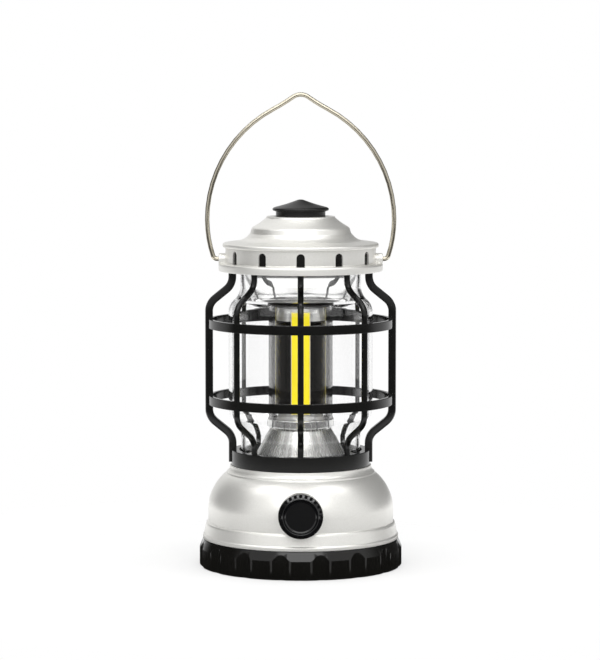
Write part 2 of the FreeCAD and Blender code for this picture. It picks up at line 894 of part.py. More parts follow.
def make_high_reflector():
    """Plated bowl with a flat closed bottom that hangs under the top plate."""
    foot = tube_cap_top
    shoulder = cage_height - high_reflector_run
    outside = ((high_reflector_foot, foot), (high_reflector_rim, shoulder))
    inside = [(radius - reflector_wall, height + reflector_wall) for radius, height in outside]
    return revolve(
        (0, foot),
        outside[0],
        bowed(outside[0], outside[1], -high_reflector_bow),
        (high_reflector_rim, cage_height),
        (inside[1][0], cage_height),
        inside[1],
        bowed(inside[1], inside[0], high_reflector_bow),
        (0, inside[0][1]),
    )


def make_collar():
    """Slotted drum with a hollow rim below, a ledge above and an ear on each side for the bail."""
    skirt_in = rim_radius - collar_wall
    shelf = rim_top - collar_wall
    ledge_low = collar_top - collar_ledge
    drum = revolve(
        (collar_inner, shelf),
        (skirt_in - rim_chamfer, shelf),
        (skirt_in, shelf - rim_chamfer),
        (skirt_in, rim_low),
        (rim_radius, rim_low),
        (rim_radius, rim_top - rim_chamfer),
        (rim_radius - rim_chamfer, rim_top),
        (collar_radius, rim_top),
        (collar_radius, collar_top),
        (top_ring_inner + slip, collar_top),
        (top_ring_inner + slip, ledge_low),
        (collar_inner, ledge_low),
    )
    half = ear_width / 2
    ear_low = rim_top - collar_wall / 2
    ear_root = collar_inner + slip
    corners = [
        vec(ear_root, -half, bail_pivot), vec(ear_root, -half, ear_low),
        vec(ear_root, half, ear_low), vec(ear_root, half, bail_pivot)]
    sides = [Part.LineSegment(start, end).toShape() for start, end in zip(corners, corners[1:])]
    crown = Part.Arc(corners[-1], vec(ear_root, 0, bail_pivot + half), corners[0]).toShape()
    ear = Part.Face(Part.Wire(sides + [crown])).extrude(vec(ear_outer - ear_root, 0, 0))
    hole_end = vec(bail_pin_end - bail_pin_gap, 0, bail_pivot)
    ear_hole = Part.makeCylinder(
        bail_wire_radius + running, bail_pin_depth + bail_pin_gap, hole_end, vec(1, 0, 0))
    arch = slot_width / 2
    straight = slot_height - arch
    slot_reach = collar_wall + 2 * slip
    slot = Part.makeBox(slot_reach, slot_width, straight, vec(collar_inner - slip, -arch, rim_top))
    arch_start = vec(collar_inner - slip, 0, rim_top + straight)
    slot = slot.fuse(Part.makeCylinder(arch, slot_reach, arch_start, vec(1, 0, 0)))
    cuts = [turned(slot, angle) for angle in slot_angles]
    cuts += [turned(ear_hole, angle) for angle in (0, 180)]
    return fuse_all([drum, ear, turned(ear, 180)]).cut(cuts)


def make_dome():
    """Stepped cap: a brim, a slope that sweeps up to a step, and a crown with a seat for the finial."""
    brim_side = (dome_brim_radius, dome_brim_top - dome_brim_round)
    slope_start = (dome_slope_radius, dome_slope_top)
    crown_start = (dome_step_radius - 2 * dome_step_chamfer, dome_step_high + dome_step_chamfer)
    spigot_outer = top_ring_inner - slip * 2
    dome_spigot_inner = spigot_outer - dome_spigot_wall
    under_slope = dome_slope_top - dome_wall
    under_drop = (dome_spigot_inner - dome_slope_radius + dome_wall) * dome_under_slope
    hole = finial_screw_radius + slip * 3
    return revolve(
        (dome_spigot_inner, dome_brim_low - dome_spigot_depth),
        (spigot_outer, dome_brim_low - dome_spigot_depth),
        (spigot_outer, dome_brim_low),
        (dome_brim_radius - dome_brim_chamfer, dome_brim_low),
        (dome_brim_radius, dome_brim_low + dome_brim_chamfer),
        brim_side,
        bowed(brim_side, (dome_brim_radius - dome_brim_round, dome_brim_top), dome_brim_bow),
        slope_start,
        bowed(slope_start, (dome_step_radius, dome_step_low), dome_slope_bow),
        (dome_step_radius - dome_step_chamfer, dome_step_high),
        crown_start,
        bowed(crown_start, (dome_crown_radius, dome_crown_low), dome_crown_bow),
        (dome_crown_radius - dome_crown_chamfer, dome_top),
        (hole, dome_top),
        (hole, dome_top - dome_wall),
        (dome_crown_radius - dome_wall, dome_top - dome_wall),
        (dome_step_radius - dome_wall * 2, dome_step_high - dome_step_chamfer),
        (dome_step_radius - dome_wall, dome_step_low - dome_step_chamfer),
        (dome_slope_radius - dome_wall, under_slope),
        (dome_spigot_inner, under_slope - under_drop),
    )


def make_finial():
    """Low pointed cap on a narrower neck."""
    brim = dome_top + finial_neck_height + finial_chamfer_height
    edge_top = brim + finial_edge_height
    slope_start = (finial_radius - finial_chamfer_depth, edge_top + finial_chamfer_height)
    top = slope_start[1] + finial_slope_rise
    bore = finial_screw_radius + slip / 2
    bore_top = dome_top + finial_screw_depth + slip
    return revolve(
        (bore, dome_top),
        (finial_neck_radius, dome_top),
        (finial_neck_radius, dome_top + finial_neck_height),
        (finial_radius, brim),
        (finial_radius, edge_top),
        slope_start,
        bowed(slope_start, (finial_point_radius, top), finial_bow),
        (0, top),
        (0, bore_top),
        (bore, bore_top),
    )


def make_finial_screw():
    under = dome_top - dome_wall
    head = cylinder(finial_screw_head_radius, under - finial_screw_head_height, under)
    shank = cylinder(finial_screw_radius, under, dome_top + finial_screw_depth)
    return head.fuse(shank).removeSplitter()


def make_bail():
    """One wire: hooked ends in the ears, bowed sides, straight shoulders and a small peak."""
    hook_sine = (bail_waist - bail_pivot - bail_hook_radius) / (bail_low_radius - bail_hook_radius)
    lean = math.asin(hook_sine)
    low_centre = bail_half_width - bail_low_radius
    hook_start = low_centre + (bail_low_radius - bail_hook_radius) * math.cos(lean)
    high_centre = bail_half_width - bail_high_radius
    rise = math.radians(bail_rise_angle)
    peak = math.radians(bail_peak_angle)

    def hook(angle):
        return (hook_start + bail_hook_radius * math.sin(angle),
                bail_pivot + bail_hook_radius * (1 - math.cos(angle)))

    def low(angle):
        return (low_centre + bail_low_radius * math.cos(angle),
                bail_waist - bail_low_radius * math.sin(angle))

    def high(angle):
        return (high_centre + bail_high_radius * math.cos(angle),
                bail_waist + bail_high_radius * math.sin(angle))

    shoulder = high(math.pi / 2 - rise)
    back_radius = (shoulder[0] - bail_peak_radius * math.sin(peak)) / (math.sin(peak) - math.sin(rise))

    def back(slope):
        return (shoulder[0] - back_radius * (math.sin(slope) - math.sin(rise)),
                shoulder[1] + back_radius * (math.cos(rise) - math.cos(slope)))

    peak_start = back(peak)

    def top(slope):
        return (bail_peak_radius * math.sin(slope),
                peak_start[1] + bail_peak_radius * (math.cos(slope) - math.cos(peak)))

    bend = math.pi / 2 - lean
    points = [
        (bail_pin_end, bail_pivot), (hook_start, bail_pivot),
        (hook(bend / 2), hook(bend)),
        (low(lean / 2), low(0)),
        (high((math.pi / 2 - rise) / 2), shoulder),
        (back((rise + peak) / 2), peak_start),
        (top(peak / 2), top(0))]
    right = outline_edges(points[0], points[1:])
    half = swept(right, round_face(vec(bail_pin_end, 0, bail_pivot), vec(1, 0, 0), bail_wire_radius))
    return half.fuse(half.mirror(ORIGIN, vec(1, 0, 0))).removeSplitter()


os.makedirs("parts", exist_ok=True)

save("base_cover", make_base_cover())
seal = ring(cover_inner - clearance, thread_outer + clearance, cover_floor, cover_floor + seal_height)
save("cover_seal", seal)
save("housing_shell", make_housing())
save("d_cells", *make_cells())
save("battery_carrier", make_carrier())
save("carrier_screws", *make_carrier_screws())
save("contact_disc", make_contact_disc())
save("lower_contacts", *make_lower_contacts())
save("upper_contacts", *make_upper_contacts())
save("driver_board", make_driver_board())
save("dimmer_pot", make_dimmer_pot())
save("dimmer_nut", make_dimmer_nut())
save("dimmer_washer", make_dimmer_washer())
save("dimmer_shaft", make_dimmer_shaft())
save("control_knob", make_knob())

whole_cage = make_cage()
save("cage_front_half", make_cage_half(whole_cage, -1), lift=cage_lift)
save("cage_rear_half", make_cage_half(whole_cage, 1), lift=cage_lift)
save("cage_screws", *make_cage_screws(), lift=cage_lift)
save("globe", make_globe(), lift=cage_lift)
low_gasket = ring(globe_low_neck, globe_low_neck - gasket_wall, deck_level, globe_bottom)
save("globe_lower_gasket", low_gasket, lift=cage_lift)
high_gasket = ring(globe_high_neck, high_reflector_rim + slip * 2, globe_top, cage_height)
save("globe_upper_gasket", high_gasket, lift=cage_lift)
save("lower_reflector", make_low_reflector(), lift=cage_lift)
save("tube_base_ring", make_tube_base(), lift=cage_lift)
save("clear_tube", ring(tube_radius, tube_radius - tube_wall, tube_foot, tube_top), lift=cage_lift)
save("tube_cap", make_tube_cap(), lift=cage_lift)
save("post_foot", make_post_piece(tube_foot, post_low), lift=cage_lift)
save("led_column", make_post_piece(post_low, post_top), lift=cage_lift)
save("post_head", make_post_piece(post_top, post_top + post_head_height), lift=cage_lift)
save("led_strips", *make_strips(), lift=cage_lift)
save("upper_reflector", make_high_reflector(), lift=cage_lift)

top_plate = ring(top_ring_inner - slip, wire_hole_radius, 0, top_plate_thickness)
save("top_plate", top_plate, lift=cap_lift)
save("vent_collar", make_collar(), lift=cap_lift)
save("dome_cap", make_dome(), lift=cap_lift)
save("finial", make_finial(), lift=cap_lift)
save("finial_screw", make_finial_screw(), lift=cap_lift)
save("bail_handle", make_bail(), lift=cap_lift)
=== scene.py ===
import math

import bmesh
import bpy
from mathutils import Matrix, Vector


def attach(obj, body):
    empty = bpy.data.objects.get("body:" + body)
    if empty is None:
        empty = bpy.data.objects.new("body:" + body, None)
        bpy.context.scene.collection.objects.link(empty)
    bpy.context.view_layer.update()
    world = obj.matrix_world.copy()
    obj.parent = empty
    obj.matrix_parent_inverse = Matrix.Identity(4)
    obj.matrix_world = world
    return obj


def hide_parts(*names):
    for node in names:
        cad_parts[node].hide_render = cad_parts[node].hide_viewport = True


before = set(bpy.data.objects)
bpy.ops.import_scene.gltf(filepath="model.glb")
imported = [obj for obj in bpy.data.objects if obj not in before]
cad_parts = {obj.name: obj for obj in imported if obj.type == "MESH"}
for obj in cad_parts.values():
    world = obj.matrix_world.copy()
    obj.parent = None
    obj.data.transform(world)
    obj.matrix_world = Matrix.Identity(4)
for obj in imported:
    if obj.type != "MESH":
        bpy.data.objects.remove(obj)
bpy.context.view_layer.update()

# Battery cover: the black foot of the lantern, a cup moulded in ABS that screws into the bell.
# Sixteen finger flutes run up its wall and end in round arches in the bevel under its rim.
# Meshes are drawn in millimetres and scaled to metres when they become pieces.

MM = 0.001
FULL_TURN = 2 * math.pi
WELD = 0.002
RING_STEPS = 144
CUT_OVERRUN = 2
TINT_CLOUD = 14
SHARP = math.radians(28)


def linear(code):
    """Linear colour of an sRGB hex value."""
    channels = [int(code[start:start + 2], 16) / 255 for start in (0, 2, 4)]
    return [c / 12.92 if c <= 0.04045 else ((c + 0.055) / 1.055) ** 2.4 for c in channels] + [1]


def add_node(tree, kind, settings=None, links=None):
    """Adds a node. Settings are its options or its inputs' values, links feed inputs from other sockets."""
    node = tree.nodes.new(kind)
    for key, value in (settings or {}).items():
        if isinstance(key, str) and hasattr(node, key):
            setattr(node, key, value)
        else:
            node.inputs[key].default_value = value
    for key, socket in (links or {}).items():
        tree.links.new(socket, node.inputs[key])
    return node


def start_material(name, values):
    """A material with plain values. Returns it with its tree, its shader and object coordinates."""
    material = bpy.data.materials.new(name)
    material.use_nodes = True
    tree = material.node_tree
    shader = tree.nodes["Principled BSDF"]
    for key, value in values.items():
        shader.inputs[key].default_value = value
    return material, tree, shader, add_node(tree, "ShaderNodeTexCoord").outputs["Object"]


def grained_finish(name, pale, dark, values, rough, grain_mm, depth_mm):
    """A finish with a faint uneven tint, a sheen that varies with it, and a fine grain."""
    material, tree, shader, place = start_material(name, values)
    cloud = add_node(tree, "ShaderNodeTexNoise", {"Scale": 1 / (TINT_CLOUD * MM), "Detail": 4},
                     {"Vector": place})
    tint = add_node(tree, "ShaderNodeMix", {"data_type": "RGBA", 6: linear(dark), 7: linear(pale)},
                    {0: cloud.outputs["Fac"]})
    sheen = add_node(tree, "ShaderNodeMapRange", {"To Min": rough[0], "To Max": rough[1]},
                     {"Value": cloud.outputs["Fac"]})
    grain = add_node(tree, "ShaderNodeTexNoise", {"Scale": 1 / (grain_mm * MM), "Detail": 2},
                     {"Vector": place})
    bump = add_node(tree, "ShaderNodeBump", {"Strength": 0.5, "Distance": depth_mm * MM},
                    {"Height": grain.outputs["Fac"]})
    tree.links.new(tint.outputs[2], shader.inputs["Base Color"])
    tree.links.new(sheen.outputs["Result"], shader.inputs["Roughness"])
    tree.links.new(bump.outputs["Normal"], shader.inputs["Normal"])
    return material


def turned(*outlines, steps=RING_STEPS):
    """A bmesh turned about the lantern's axis from outlines of (radius, height) corners, closed or axis to
    axis. A third number rounds a corner off, from that far before it to that far after it."""
    bm = bmesh.new()
    for corners in outlines:
        verts = [bm.verts.new((corner[0], 0, corner[1])) for corner in corners]
        for vert, following in zip(verts, verts[1:] + verts[:1]):
            if vert.co.x or following.co.x:
                bm.edges.new((vert, following))
        for vert, corner in zip(verts, corners):
            if len(corner) > 2:
                bmesh.ops.bevel(bm, geom=[vert], offset=corner[2], offset_type="OFFSET",
                                segments=3 + round(corner[2]), profile=0.5, affect="VERTICES", material=-1)
    bmesh.ops.spin(bm, geom=bm.verts[:] + bm.edges[:], cent=(0, 0, 0), axis=(0, 0, 1), angle=FULL_TURN,
                   steps=steps, use_merge=True)
    bmesh.ops.remove_doubles(bm, verts=bm.verts, dist=WELD)
    bmesh.ops.recalc_face_normals(bm, faces=bm.faces)
    return bm


def repeat_round(bm, count):
    """Copies all of a bmesh round the lantern's axis."""
    bmesh.ops.spin(bm, geom=bm.verts[:] + bm.edges[:] + bm.faces[:], cent=(0, 0, 0), axis=(0, 0, 1),
                   angle=FULL_TURN * (count - 1) / count, steps=count - 1, use_duplicate=True)


def bar(radius, low, high, centre=(0, 0), segments=48):
    """A round bar that stands upright."""
    bm = bmesh.new()
    place = Matrix.Translation((centre[0], centre[1], (low + high) / 2))
    bmesh.ops.create_cone(bm, cap_ends=True, segments=segments, radius1=radius, radius2=radius,
                          depth=high - low, matrix=place)
    return bm


def combine(bm, tool, operation):
    """Cuts a tool from a bmesh, or joins it on. Both are used up, and the result is a new bmesh."""
    helpers = []
    for source in (bm, tool):
        mesh = bpy.data.meshes.new("helper")
        source.to_mesh(mesh)
        source.free()
        helper = bpy.data.objects.new("helper", mesh)
        bpy.context.scene.collection.objects.link(helper)
        helpers.append(helper)
    modifier = helpers[0].modifiers.new("combine", "BOOLEAN")
    modifier.operation = operation
    modifier.solver = "EXACT"
    modifier.object = helpers[1]
    result = bmesh.new()
    result.from_object(helpers[0], bpy.context.evaluated_depsgraph_get())
    for helper in helpers:
        mesh = helper.data
        bpy.data.objects.remove(helper)
        bpy.data.meshes.remove(mesh)
    bmesh.ops.remove_doubles(result, verts=result.verts, dist=WELD)
    return result


def soften(bm, width, low=-math.inf):
    """Rounds the sharp edges above a height, as a mould's edges are."""
    edges = []
    for edge in bm.edges:
        middle = (edge.verts[0].co.z + edge.verts[1].co.z) / 2
        if edge.is_manifold and edge.calc_face_angle() > SHARP and middle > low:
            edges.append(edge)
    bmesh.ops.bevel(bm, geom=edges, offset=width, offset_type="OFFSET", segments=2, profile=0.5,
                    affect="EDGES", clamp_overlap=True, material=-1)


def make_piece(name, bm, material, body, slot, *nodes, crease=math.radians(32)):
    """Makes a bmesh into a piece that rides on a body, takes a finish and stands for CAD nodes. The slot is
    not used.
    """
    bmesh.ops.remove_doubles(bm, verts=bm.verts, dist=WELD)
    bmesh.ops.recalc_face_normals(bm, faces=bm.faces)
    for edge in bm.edges:
        edge.smooth = edge.calc_face_angle(0) < crease
    for face in bm.faces:
        face.smooth = True
    bmesh.ops.scale(bm, vec=(MM, MM, MM), verts=bm.verts)
    mesh = bpy.data.meshes.new(name)
    bm.to_mesh(mesh)
    bm.free()
    mesh.materials.append(material)
    piece = bpy.data.objects.new(name, mesh)
    bpy.context.scene.collection.objects.link(piece)
    normals = piece.modifiers.new("even_shading", "WEIGHTED_NORMAL")
    normals.keep_sharp = True
    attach(piece, body)
    if nodes:
        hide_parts(*nodes)
    return piece


COVER_RADIUS = 62.5
COVER_TOP = 17.0
COVER_BEVEL_FOOT = 11.6
COVER_RIM = 60.2
COVER_INNER = 57.6
COVER_FLOOR = 2.0
THREAD_OUTER = 53.6
THREAD_INNER = 51.2
THREAD_TOP = 19.0
FLUTE_COUNT = 16
FLUTE_RADIUS = 10.46
FLUTE_CENTRE = 71.36
FOOT_CHAMFER = 1
COVER_EDGE = 0.35
COVER_CREASE = math.radians(18)

cover_shape = turned([
    (0, 0), (COVER_RADIUS - FOOT_CHAMFER, 0), (COVER_RADIUS, FOOT_CHAMFER),
    (COVER_RADIUS, COVER_BEVEL_FOOT), (COVER_RIM, COVER_TOP), (COVER_INNER, COVER_TOP),
    (COVER_INNER, COVER_FLOOR), (THREAD_OUTER, COVER_FLOOR), (THREAD_OUTER, THREAD_TOP),
    (THREAD_INNER, THREAD_TOP), (THREAD_INNER, COVER_FLOOR), (0, COVER_FLOOR)])
flutes = bar(FLUTE_RADIUS, -CUT_OVERRUN, COVER_TOP + CUT_OVERRUN, (FLUTE_CENTRE, 0))
half_pitch = Matrix.Rotation(FULL_TURN / FLUTE_COUNT / 2, 3, "Z")
bmesh.ops.rotate(flutes, verts=flutes.verts, cent=(0, 0, 0), matrix=half_pitch)
repeat_round(flutes, FLUTE_COUNT)
cover_shape = combine(cover_shape, flutes, "DIFFERENCE")
soften(cover_shape, COVER_EDGE)
# A soft gloss on near black: the bevel catches the lamp in front while the wall stays dark,
# and the fine grain of the mould keeps the shine from looking wet.
black_abs = grained_finish("moulded_black_abs", "0f0e0c", "090908", {"IOR": 1.5, "Specular IOR Level": 0.45},
                           rough=(0.1, 0.16), grain_mm=0.35, depth_mm=0.012)
make_piece("battery_cover", cover_shape, black_abs, "cover", "black_moulding", "base_cover",
           crease=COVER_CREASE)

# Bell: the battery housing, moulded in ABS and sprayed silver, with a boss for the dimmer at the front.
# A lip closes on the cover, a band and two fine lines run round its foot, and a neck carries the cage.

# A size with several numbers gives radii first, then heights, and last a corner's rounding.
LIP = (60.4, 17.3, 19.3)
BAND_FOOT = (59.6, 20.1)
BAND_TOP = (58.5, 26.1)
BARREL = 57.2
BARREL_FOOT = 27.5
SHOULDER_CORNER = 49.62
SHOULDER_ROUND = 13.5
CREASE = (46.0, 57.37)
NECK_FLARE = (45.7, 58.3)
NECK = (43.5, 62.5)
SPIGOT = (41.0, 39.6)
DECK = (67.5, 69.0)
SKIRT = (57.2, 54.0, 5.2)
SKIRT_TOP = 19.4
DECK_HOLE = 9.0
NECK_HOLLOW = (43.85, 59.5, 1.8)
BAND_STEP = (58.1, 27.1, 0.3)
INNER_WALL = 55.0
INNER_SHOULDER = (INNER_WALL, 51.36, 15.2)
INNER_NECK = (41.0, 57.69)
DIMMER_AXIS = 39.5
DIMMER_PAD = (9.0, 52.8, 58.9)
FLAKE_SIZE = 0.3
DRIFT_SIZE = 22
PEEL_SIZE = 1.6

bell_shape = turned([
    (DECK_HOLE, DECK[0]), (DECK_HOLE, DECK[1]), (SPIGOT[0], DECK[1], 0.4), (SPIGOT[0], NECK[1]),
    (NECK[0], NECK[1], 0.3), NECK_HOLLOW, (NECK_FLARE[0], NECK_FLARE[1], 0.2), CREASE,
    (BARREL, SHOULDER_CORNER, SHOULDER_ROUND), (BARREL, BARREL_FOOT, 0.2), BAND_STEP,
    (BAND_TOP[0], BAND_TOP[1], 0.2), (BAND_FOOT[0], BAND_FOOT[1], 0.2), (LIP[0], LIP[2], 0.3),
    (LIP[0], LIP[1], 0.3), (SKIRT[0], LIP[1]), (SKIRT[0], SKIRT[2]), (SKIRT[1], SKIRT[2]),
    (SKIRT[1], SKIRT_TOP), (INNER_WALL, BARREL_FOOT), INNER_SHOULDER, INNER_NECK,
    (SPIGOT[1], INNER_NECK[1]), (SPIGOT[1], DECK[0])])
dimmer_pad = bar(*DIMMER_PAD)
face_front = Matrix.Rotation(math.pi / 2, 3, "X")
bmesh.ops.rotate(dimmer_pad, verts=dimmer_pad.verts, cent=(0, 0, 0), matrix=face_front)
bmesh.ops.translate(dimmer_pad, verts=dimmer_pad.verts, vec=(0, 0, DIMMER_AXIS))
bell_shape = combine(bell_shape, dimmer_pad, "UNION")

# Metal flakes in a clear binder: broad soft highlights that slide round the curves over a pale grey body.
# The flakes are drawn about six times coarser than real ones, so that they show.
silver_lacquer, tree, shader, place = start_material("sprayed_silver_lacquer", {"Metallic": 0.72, "IOR": 1.5})
flakes = add_node(tree, "ShaderNodeTexVoronoi", {"Scale": 1 / (FLAKE_SIZE * MM)}, {"Vector": place})
flake_tone = add_node(tree, "ShaderNodeSeparateColor", {}, {"Color": flakes.outputs["Color"]})
silver = add_node(tree, "ShaderNodeMix", {"data_type": "RGBA", 6: linear("e5e4df"), 7: linear("eeede9")},
                  {0: flake_tone.outputs["Red"]})
drift = add_node(tree, "ShaderNodeTexNoise", {"Scale": 1 / (DRIFT_SIZE * MM), "Detail": 3},
                 {"Vector": place})
satin = add_node(tree, "ShaderNodeMapRange", {"To Min": 0.34, "To Max": 0.4}, {"Value": drift.outputs["Fac"]})
peel = add_node(tree, "ShaderNodeTexNoise", {"Scale": 1 / (PEEL_SIZE * MM), "Detail": 2}, {"Vector": place})
peel_bump = add_node(tree, "ShaderNodeBump", {"Strength": 0.1, "Distance": 0.01 * MM},
                     {"Height": peel.outputs["Fac"]})
tree.links.new(silver.outputs[2], shader.inputs["Base Color"])
tree.links.new(satin.outputs["Result"], shader.inputs["Roughness"])
tree.links.new(peel_bump.outputs["Normal"], shader.inputs["Normal"])
make_piece("bell_housing", bell_shape, silver_lacquer, "lantern", "silver_paint", "housing_shell")

# Dimmer knob: a black ABS moulding pressed on the dimmer's shaft at the front of the bell.
# Its polished bevel has 24 scallops for grip, and its face is dished and left dull from the mould.

KNOB_RADIUS = 13.5
KNOB_DEPTH = 10.0
KNOB_BEVEL = (10.9, 7.4)
KNOB_BACK = 59.6
KNOB_STEPS = 96
KNOB_EDGE = 0.12
KNOB_SOFT_FROM = KNOB_BEVEL[1] - 0.1
SHAFT_BORE = (3, 7)
BACK_POCKET = (8.2, 3)
DISH_FLOOR = (9.4, 8.2)
DISH_RIM = 10.6
DULL_REACH = 8.9
SCALLOP_COUNT = 24
SCALLOP_RADIUS = 0.95
SCALLOP_CENTRE = 12.5
SCALLOP_FLOOR = 7.4
SCALLOP_SIDES = 20
FACING_UP = 0.99

knob_shape = turned([
    SHAFT_BORE, (0, SHAFT_BORE[1]), (0, DISH_FLOOR[1]), (DISH_FLOOR[0], DISH_FLOOR[1], 0.9),
    (DISH_RIM, KNOB_DEPTH, 0.3), (KNOB_BEVEL[0], KNOB_DEPTH, 0.2), (KNOB_RADIUS, KNOB_BEVEL[1], 0.5),
    (KNOB_RADIUS, 0, 0.4), (BACK_POCKET[0], 0), BACK_POCKET, (SHAFT_BORE[0], BACK_POCKET[1])],
    steps=KNOB_STEPS)
scallops = bar(SCALLOP_RADIUS, SCALLOP_FLOOR, KNOB_DEPTH + CUT_OVERRUN, (SCALLOP_CENTRE, 0),
               SCALLOP_SIDES)
repeat_round(scallops, SCALLOP_COUNT)
knob_shape = combine(knob_shape, scallops, "DIFFERENCE")
for face in knob_shape.faces:
    middle = face.calc_center_median()
    in_dish = math.hypot(middle.x, middle.y) < DULL_REACH and middle.z > KNOB_BEVEL[1]
    on_scallop_floor = face.normal.z > FACING_UP and abs(middle.z - SCALLOP_FLOOR) < WELD
    if in_dish or on_scallop_floor:
        face.material_index = 1
soften(knob_shape, KNOB_EDGE, low=KNOB_SOFT_FROM)
bmesh.ops.rotate(knob_shape, verts=knob_shape.verts, cent=(0, 0, 0), matrix=face_front)
bmesh.ops.translate(knob_shape, verts=knob_shape.verts, vec=(0, -KNOB_BACK, DIMMER_AXIS))
# Polished black: a row of small glints between the scallops and a crescent in the dish's rim.
polished_abs = grained_finish("polished_black_abs", "0b0b0c", "070708",
                              {"IOR": 1.5, "Specular IOR Level": 0.5},
                              rough=(0.06, 0.1), grain_mm=0.4, depth_mm=0.002)
# The same plastic off a blasted mould face: it scatters the light, so the dish and the scallops stay dark.
dull_abs = grained_finish("dull_black_abs", "0d0d0e", "09090a", {"IOR": 1.5, "Specular IOR Level": 0.12},
                          rough=(0.5, 0.6), grain_mm=0.25, depth_mm=0.02)
knob = make_piece("dimmer_knob", knob_shape, polished_abs, "knob", "black_moulding", "control_knob")
knob.data.materials.append(dull_abs)

# Cage: two mirrored halves moulded in black glass-filled nylon and screwed to the bell's neck from inside.
# Each has three round ribs and half of the base ring, the hoops, the flat side ribs and the top ring.

SPLIT = 0.05
RIB_RADIUS = 1.85
RIB_SIDES = 20
RIB_FOOT = 70.6
RIB_HEAD = 184.0
RIB_BEND = 10.0
RIB_NECK = 39.75
RIB_BELLY = 54.5
RIB_LEVELS = (75.5, 96.7, 157.3, 178.5)
SIDE_RIB_FOOT = 64.0
SIDE_RIB_NECK = 42.0
SIDE_RIB_BELLY = 56.4
SIDE_RIB_HALF_DEPTH = 2.4
SIDE_RIB_HALF_WIDTH = 2.2
SIDE_RIB_CHAMFER = 1.4
SIDE_RIB_ROUND = 0.3
ROUND_RIB_ANGLES = (45, 90, 135, 225, 270, 315)
BEND_STEP = 6
HOOP = (54.3, 56.8, 5.6)
HOOP_LEVELS = (102.85, 150.0)
SOCKET = 41.1
SOCKET_CUT = (SOCKET + 0.2, 60, 69.45)
BASE_RING = [
    (SOCKET, 62.5), (42.7, 62.5, 0.3), (42.7, 71.8, 0.4), (37.8, 71.8, 0.3), (37.8, 69.4), (SOCKET, 69.4)]
TOP_RING = [(38.2, 183), (44.8, 183, 0.3), (44.8, 195.9, 0.3), (43, 195.9), (43, 185), (38.2, 185)]


def whole(face):
    """A face with its edges and corners, as the operators need it to leave no face inside what they draw."""
    return [face] + face.edges[:] + face.verts[:]


def run_on(bm, face, shift):
    """Draws a section straight on, and returns its far face."""
    grown = bmesh.ops.extrude_face_region(bm, geom=whole(face))["geom"]
    bmesh.ops.translate(bm, verts=[v for v in grown if isinstance(v, bmesh.types.BMVert)], vec=shift)
    return next(f for f in grown if isinstance(f, bmesh.types.BMFace))


def sweep(bm, face, start, heading, moves):
    """Carries a section face along a path in the plane Y = 0. A move is a length, or a bend's radius and its
    angle, which is positive to the left of the heading."""
    place = Vector(start)
    for move in moves:
        ahead = Vector((math.cos(heading), 0, math.sin(heading)))
        if isinstance(move, tuple):
            radius, angle = move
            left = Vector((-ahead.z, 0, ahead.x)) * math.copysign(1, angle)
            centre = place + left * radius
            steps = max(3, math.ceil(math.degrees(abs(angle)) / BEND_STEP))
            grown = bmesh.ops.spin(bm, geom=whole(face), cent=centre, axis=(0, -1, 0), angle=angle,
                                   steps=steps)
            face = next(f for f in grown["geom_last"] if isinstance(f, bmesh.types.BMFace))
            place = centre + Matrix.Rotation(angle, 3, (0, -1, 0)) @ (place - centre)
            heading += angle
        else:
            face = run_on(bm, face, ahead * move)
            place = place + ahead * move
    return face


def rib_moves(neck, belly, foot):
    """A rib's path: up from its foot, out to the belly in a double bend, up, and back in to its head."""
    across = belly - neck
    rise = RIB_LEVELS[1] - RIB_LEVELS[0]
    slope = math.sqrt((across - 2 * RIB_BEND) ** 2 + rise ** 2 - 4 * RIB_BEND ** 2)
    turn = math.atan2(2 * RIB_BEND, slope) + math.atan2(across - 2 * RIB_BEND, rise)
    return [RIB_LEVELS[0] - foot, (RIB_BEND, -turn), slope, (RIB_BEND, turn), RIB_LEVELS[2] - RIB_LEVELS[1],
            (RIB_BEND, turn), slope, (RIB_BEND, -turn), RIB_HEAD - RIB_LEVELS[3]]


def copies_at(bm, angles):
    """Turns copies of all of a bmesh to the given angles and drops the first one."""
    original = bm.verts[:] + bm.edges[:] + bm.faces[:]
    for angle in angles:
        bmesh.ops.spin(bm, geom=original, cent=(0, 0, 0), axis=(0, 0, 1), angle=math.radians(angle), steps=1,
                       use_duplicate=True)
    bmesh.ops.delete(bm, geom=[v for v in original if isinstance(v, bmesh.types.BMVert)], context="VERTS")


def half_of(bm, side):
    """The half of a bmesh in front of the split (side -1) or behind it (side 1), closed along the cut."""
    half = bm.copy()
    bmesh.ops.bisect_plane(half, geom=half.verts[:] + half.edges[:] + half.faces[:], dist=WELD,
                           plane_co=(0, side * SPLIT, 0), plane_no=(0, -side, 0), clear_outer=True)
    bmesh.ops.holes_fill(half, edges=[edge for edge in half.edges if edge.is_boundary], sides=0)
    return half


hoops = [[(HOOP[0], level - HOOP[2] / 2, 0.3), (HOOP[1], level - HOOP[2] / 2, 0.3),
          (HOOP[1], level + HOOP[2] / 2, 0.3), (HOOP[0], level + HOOP[2] / 2, 0.3)] for level in HOOP_LEVELS]
cage_shape = turned(BASE_RING, TOP_RING, *hoops)
round_ribs = bmesh.new()
foot_ring = bmesh.ops.create_circle(round_ribs, cap_ends=True, segments=RIB_SIDES, radius=RIB_RADIUS,
                                    matrix=Matrix.Translation((RIB_NECK, 0, RIB_FOOT)))["verts"]
sweep(round_ribs, foot_ring[0].link_faces[0], (RIB_NECK, 0, RIB_FOOT), math.pi / 2,
      rib_moves(RIB_NECK, RIB_BELLY, RIB_FOOT))
copies_at(round_ribs, ROUND_RIB_ANGLES)
bmesh.ops.recalc_face_normals(round_ribs, faces=round_ribs.faces)
cage_shape = combine(cage_shape, round_ribs, "UNION")
side_ribs = bmesh.new()
inner = SIDE_RIB_NECK - SIDE_RIB_HALF_DEPTH
outer = SIDE_RIB_NECK + SIDE_RIB_HALF_DEPTH
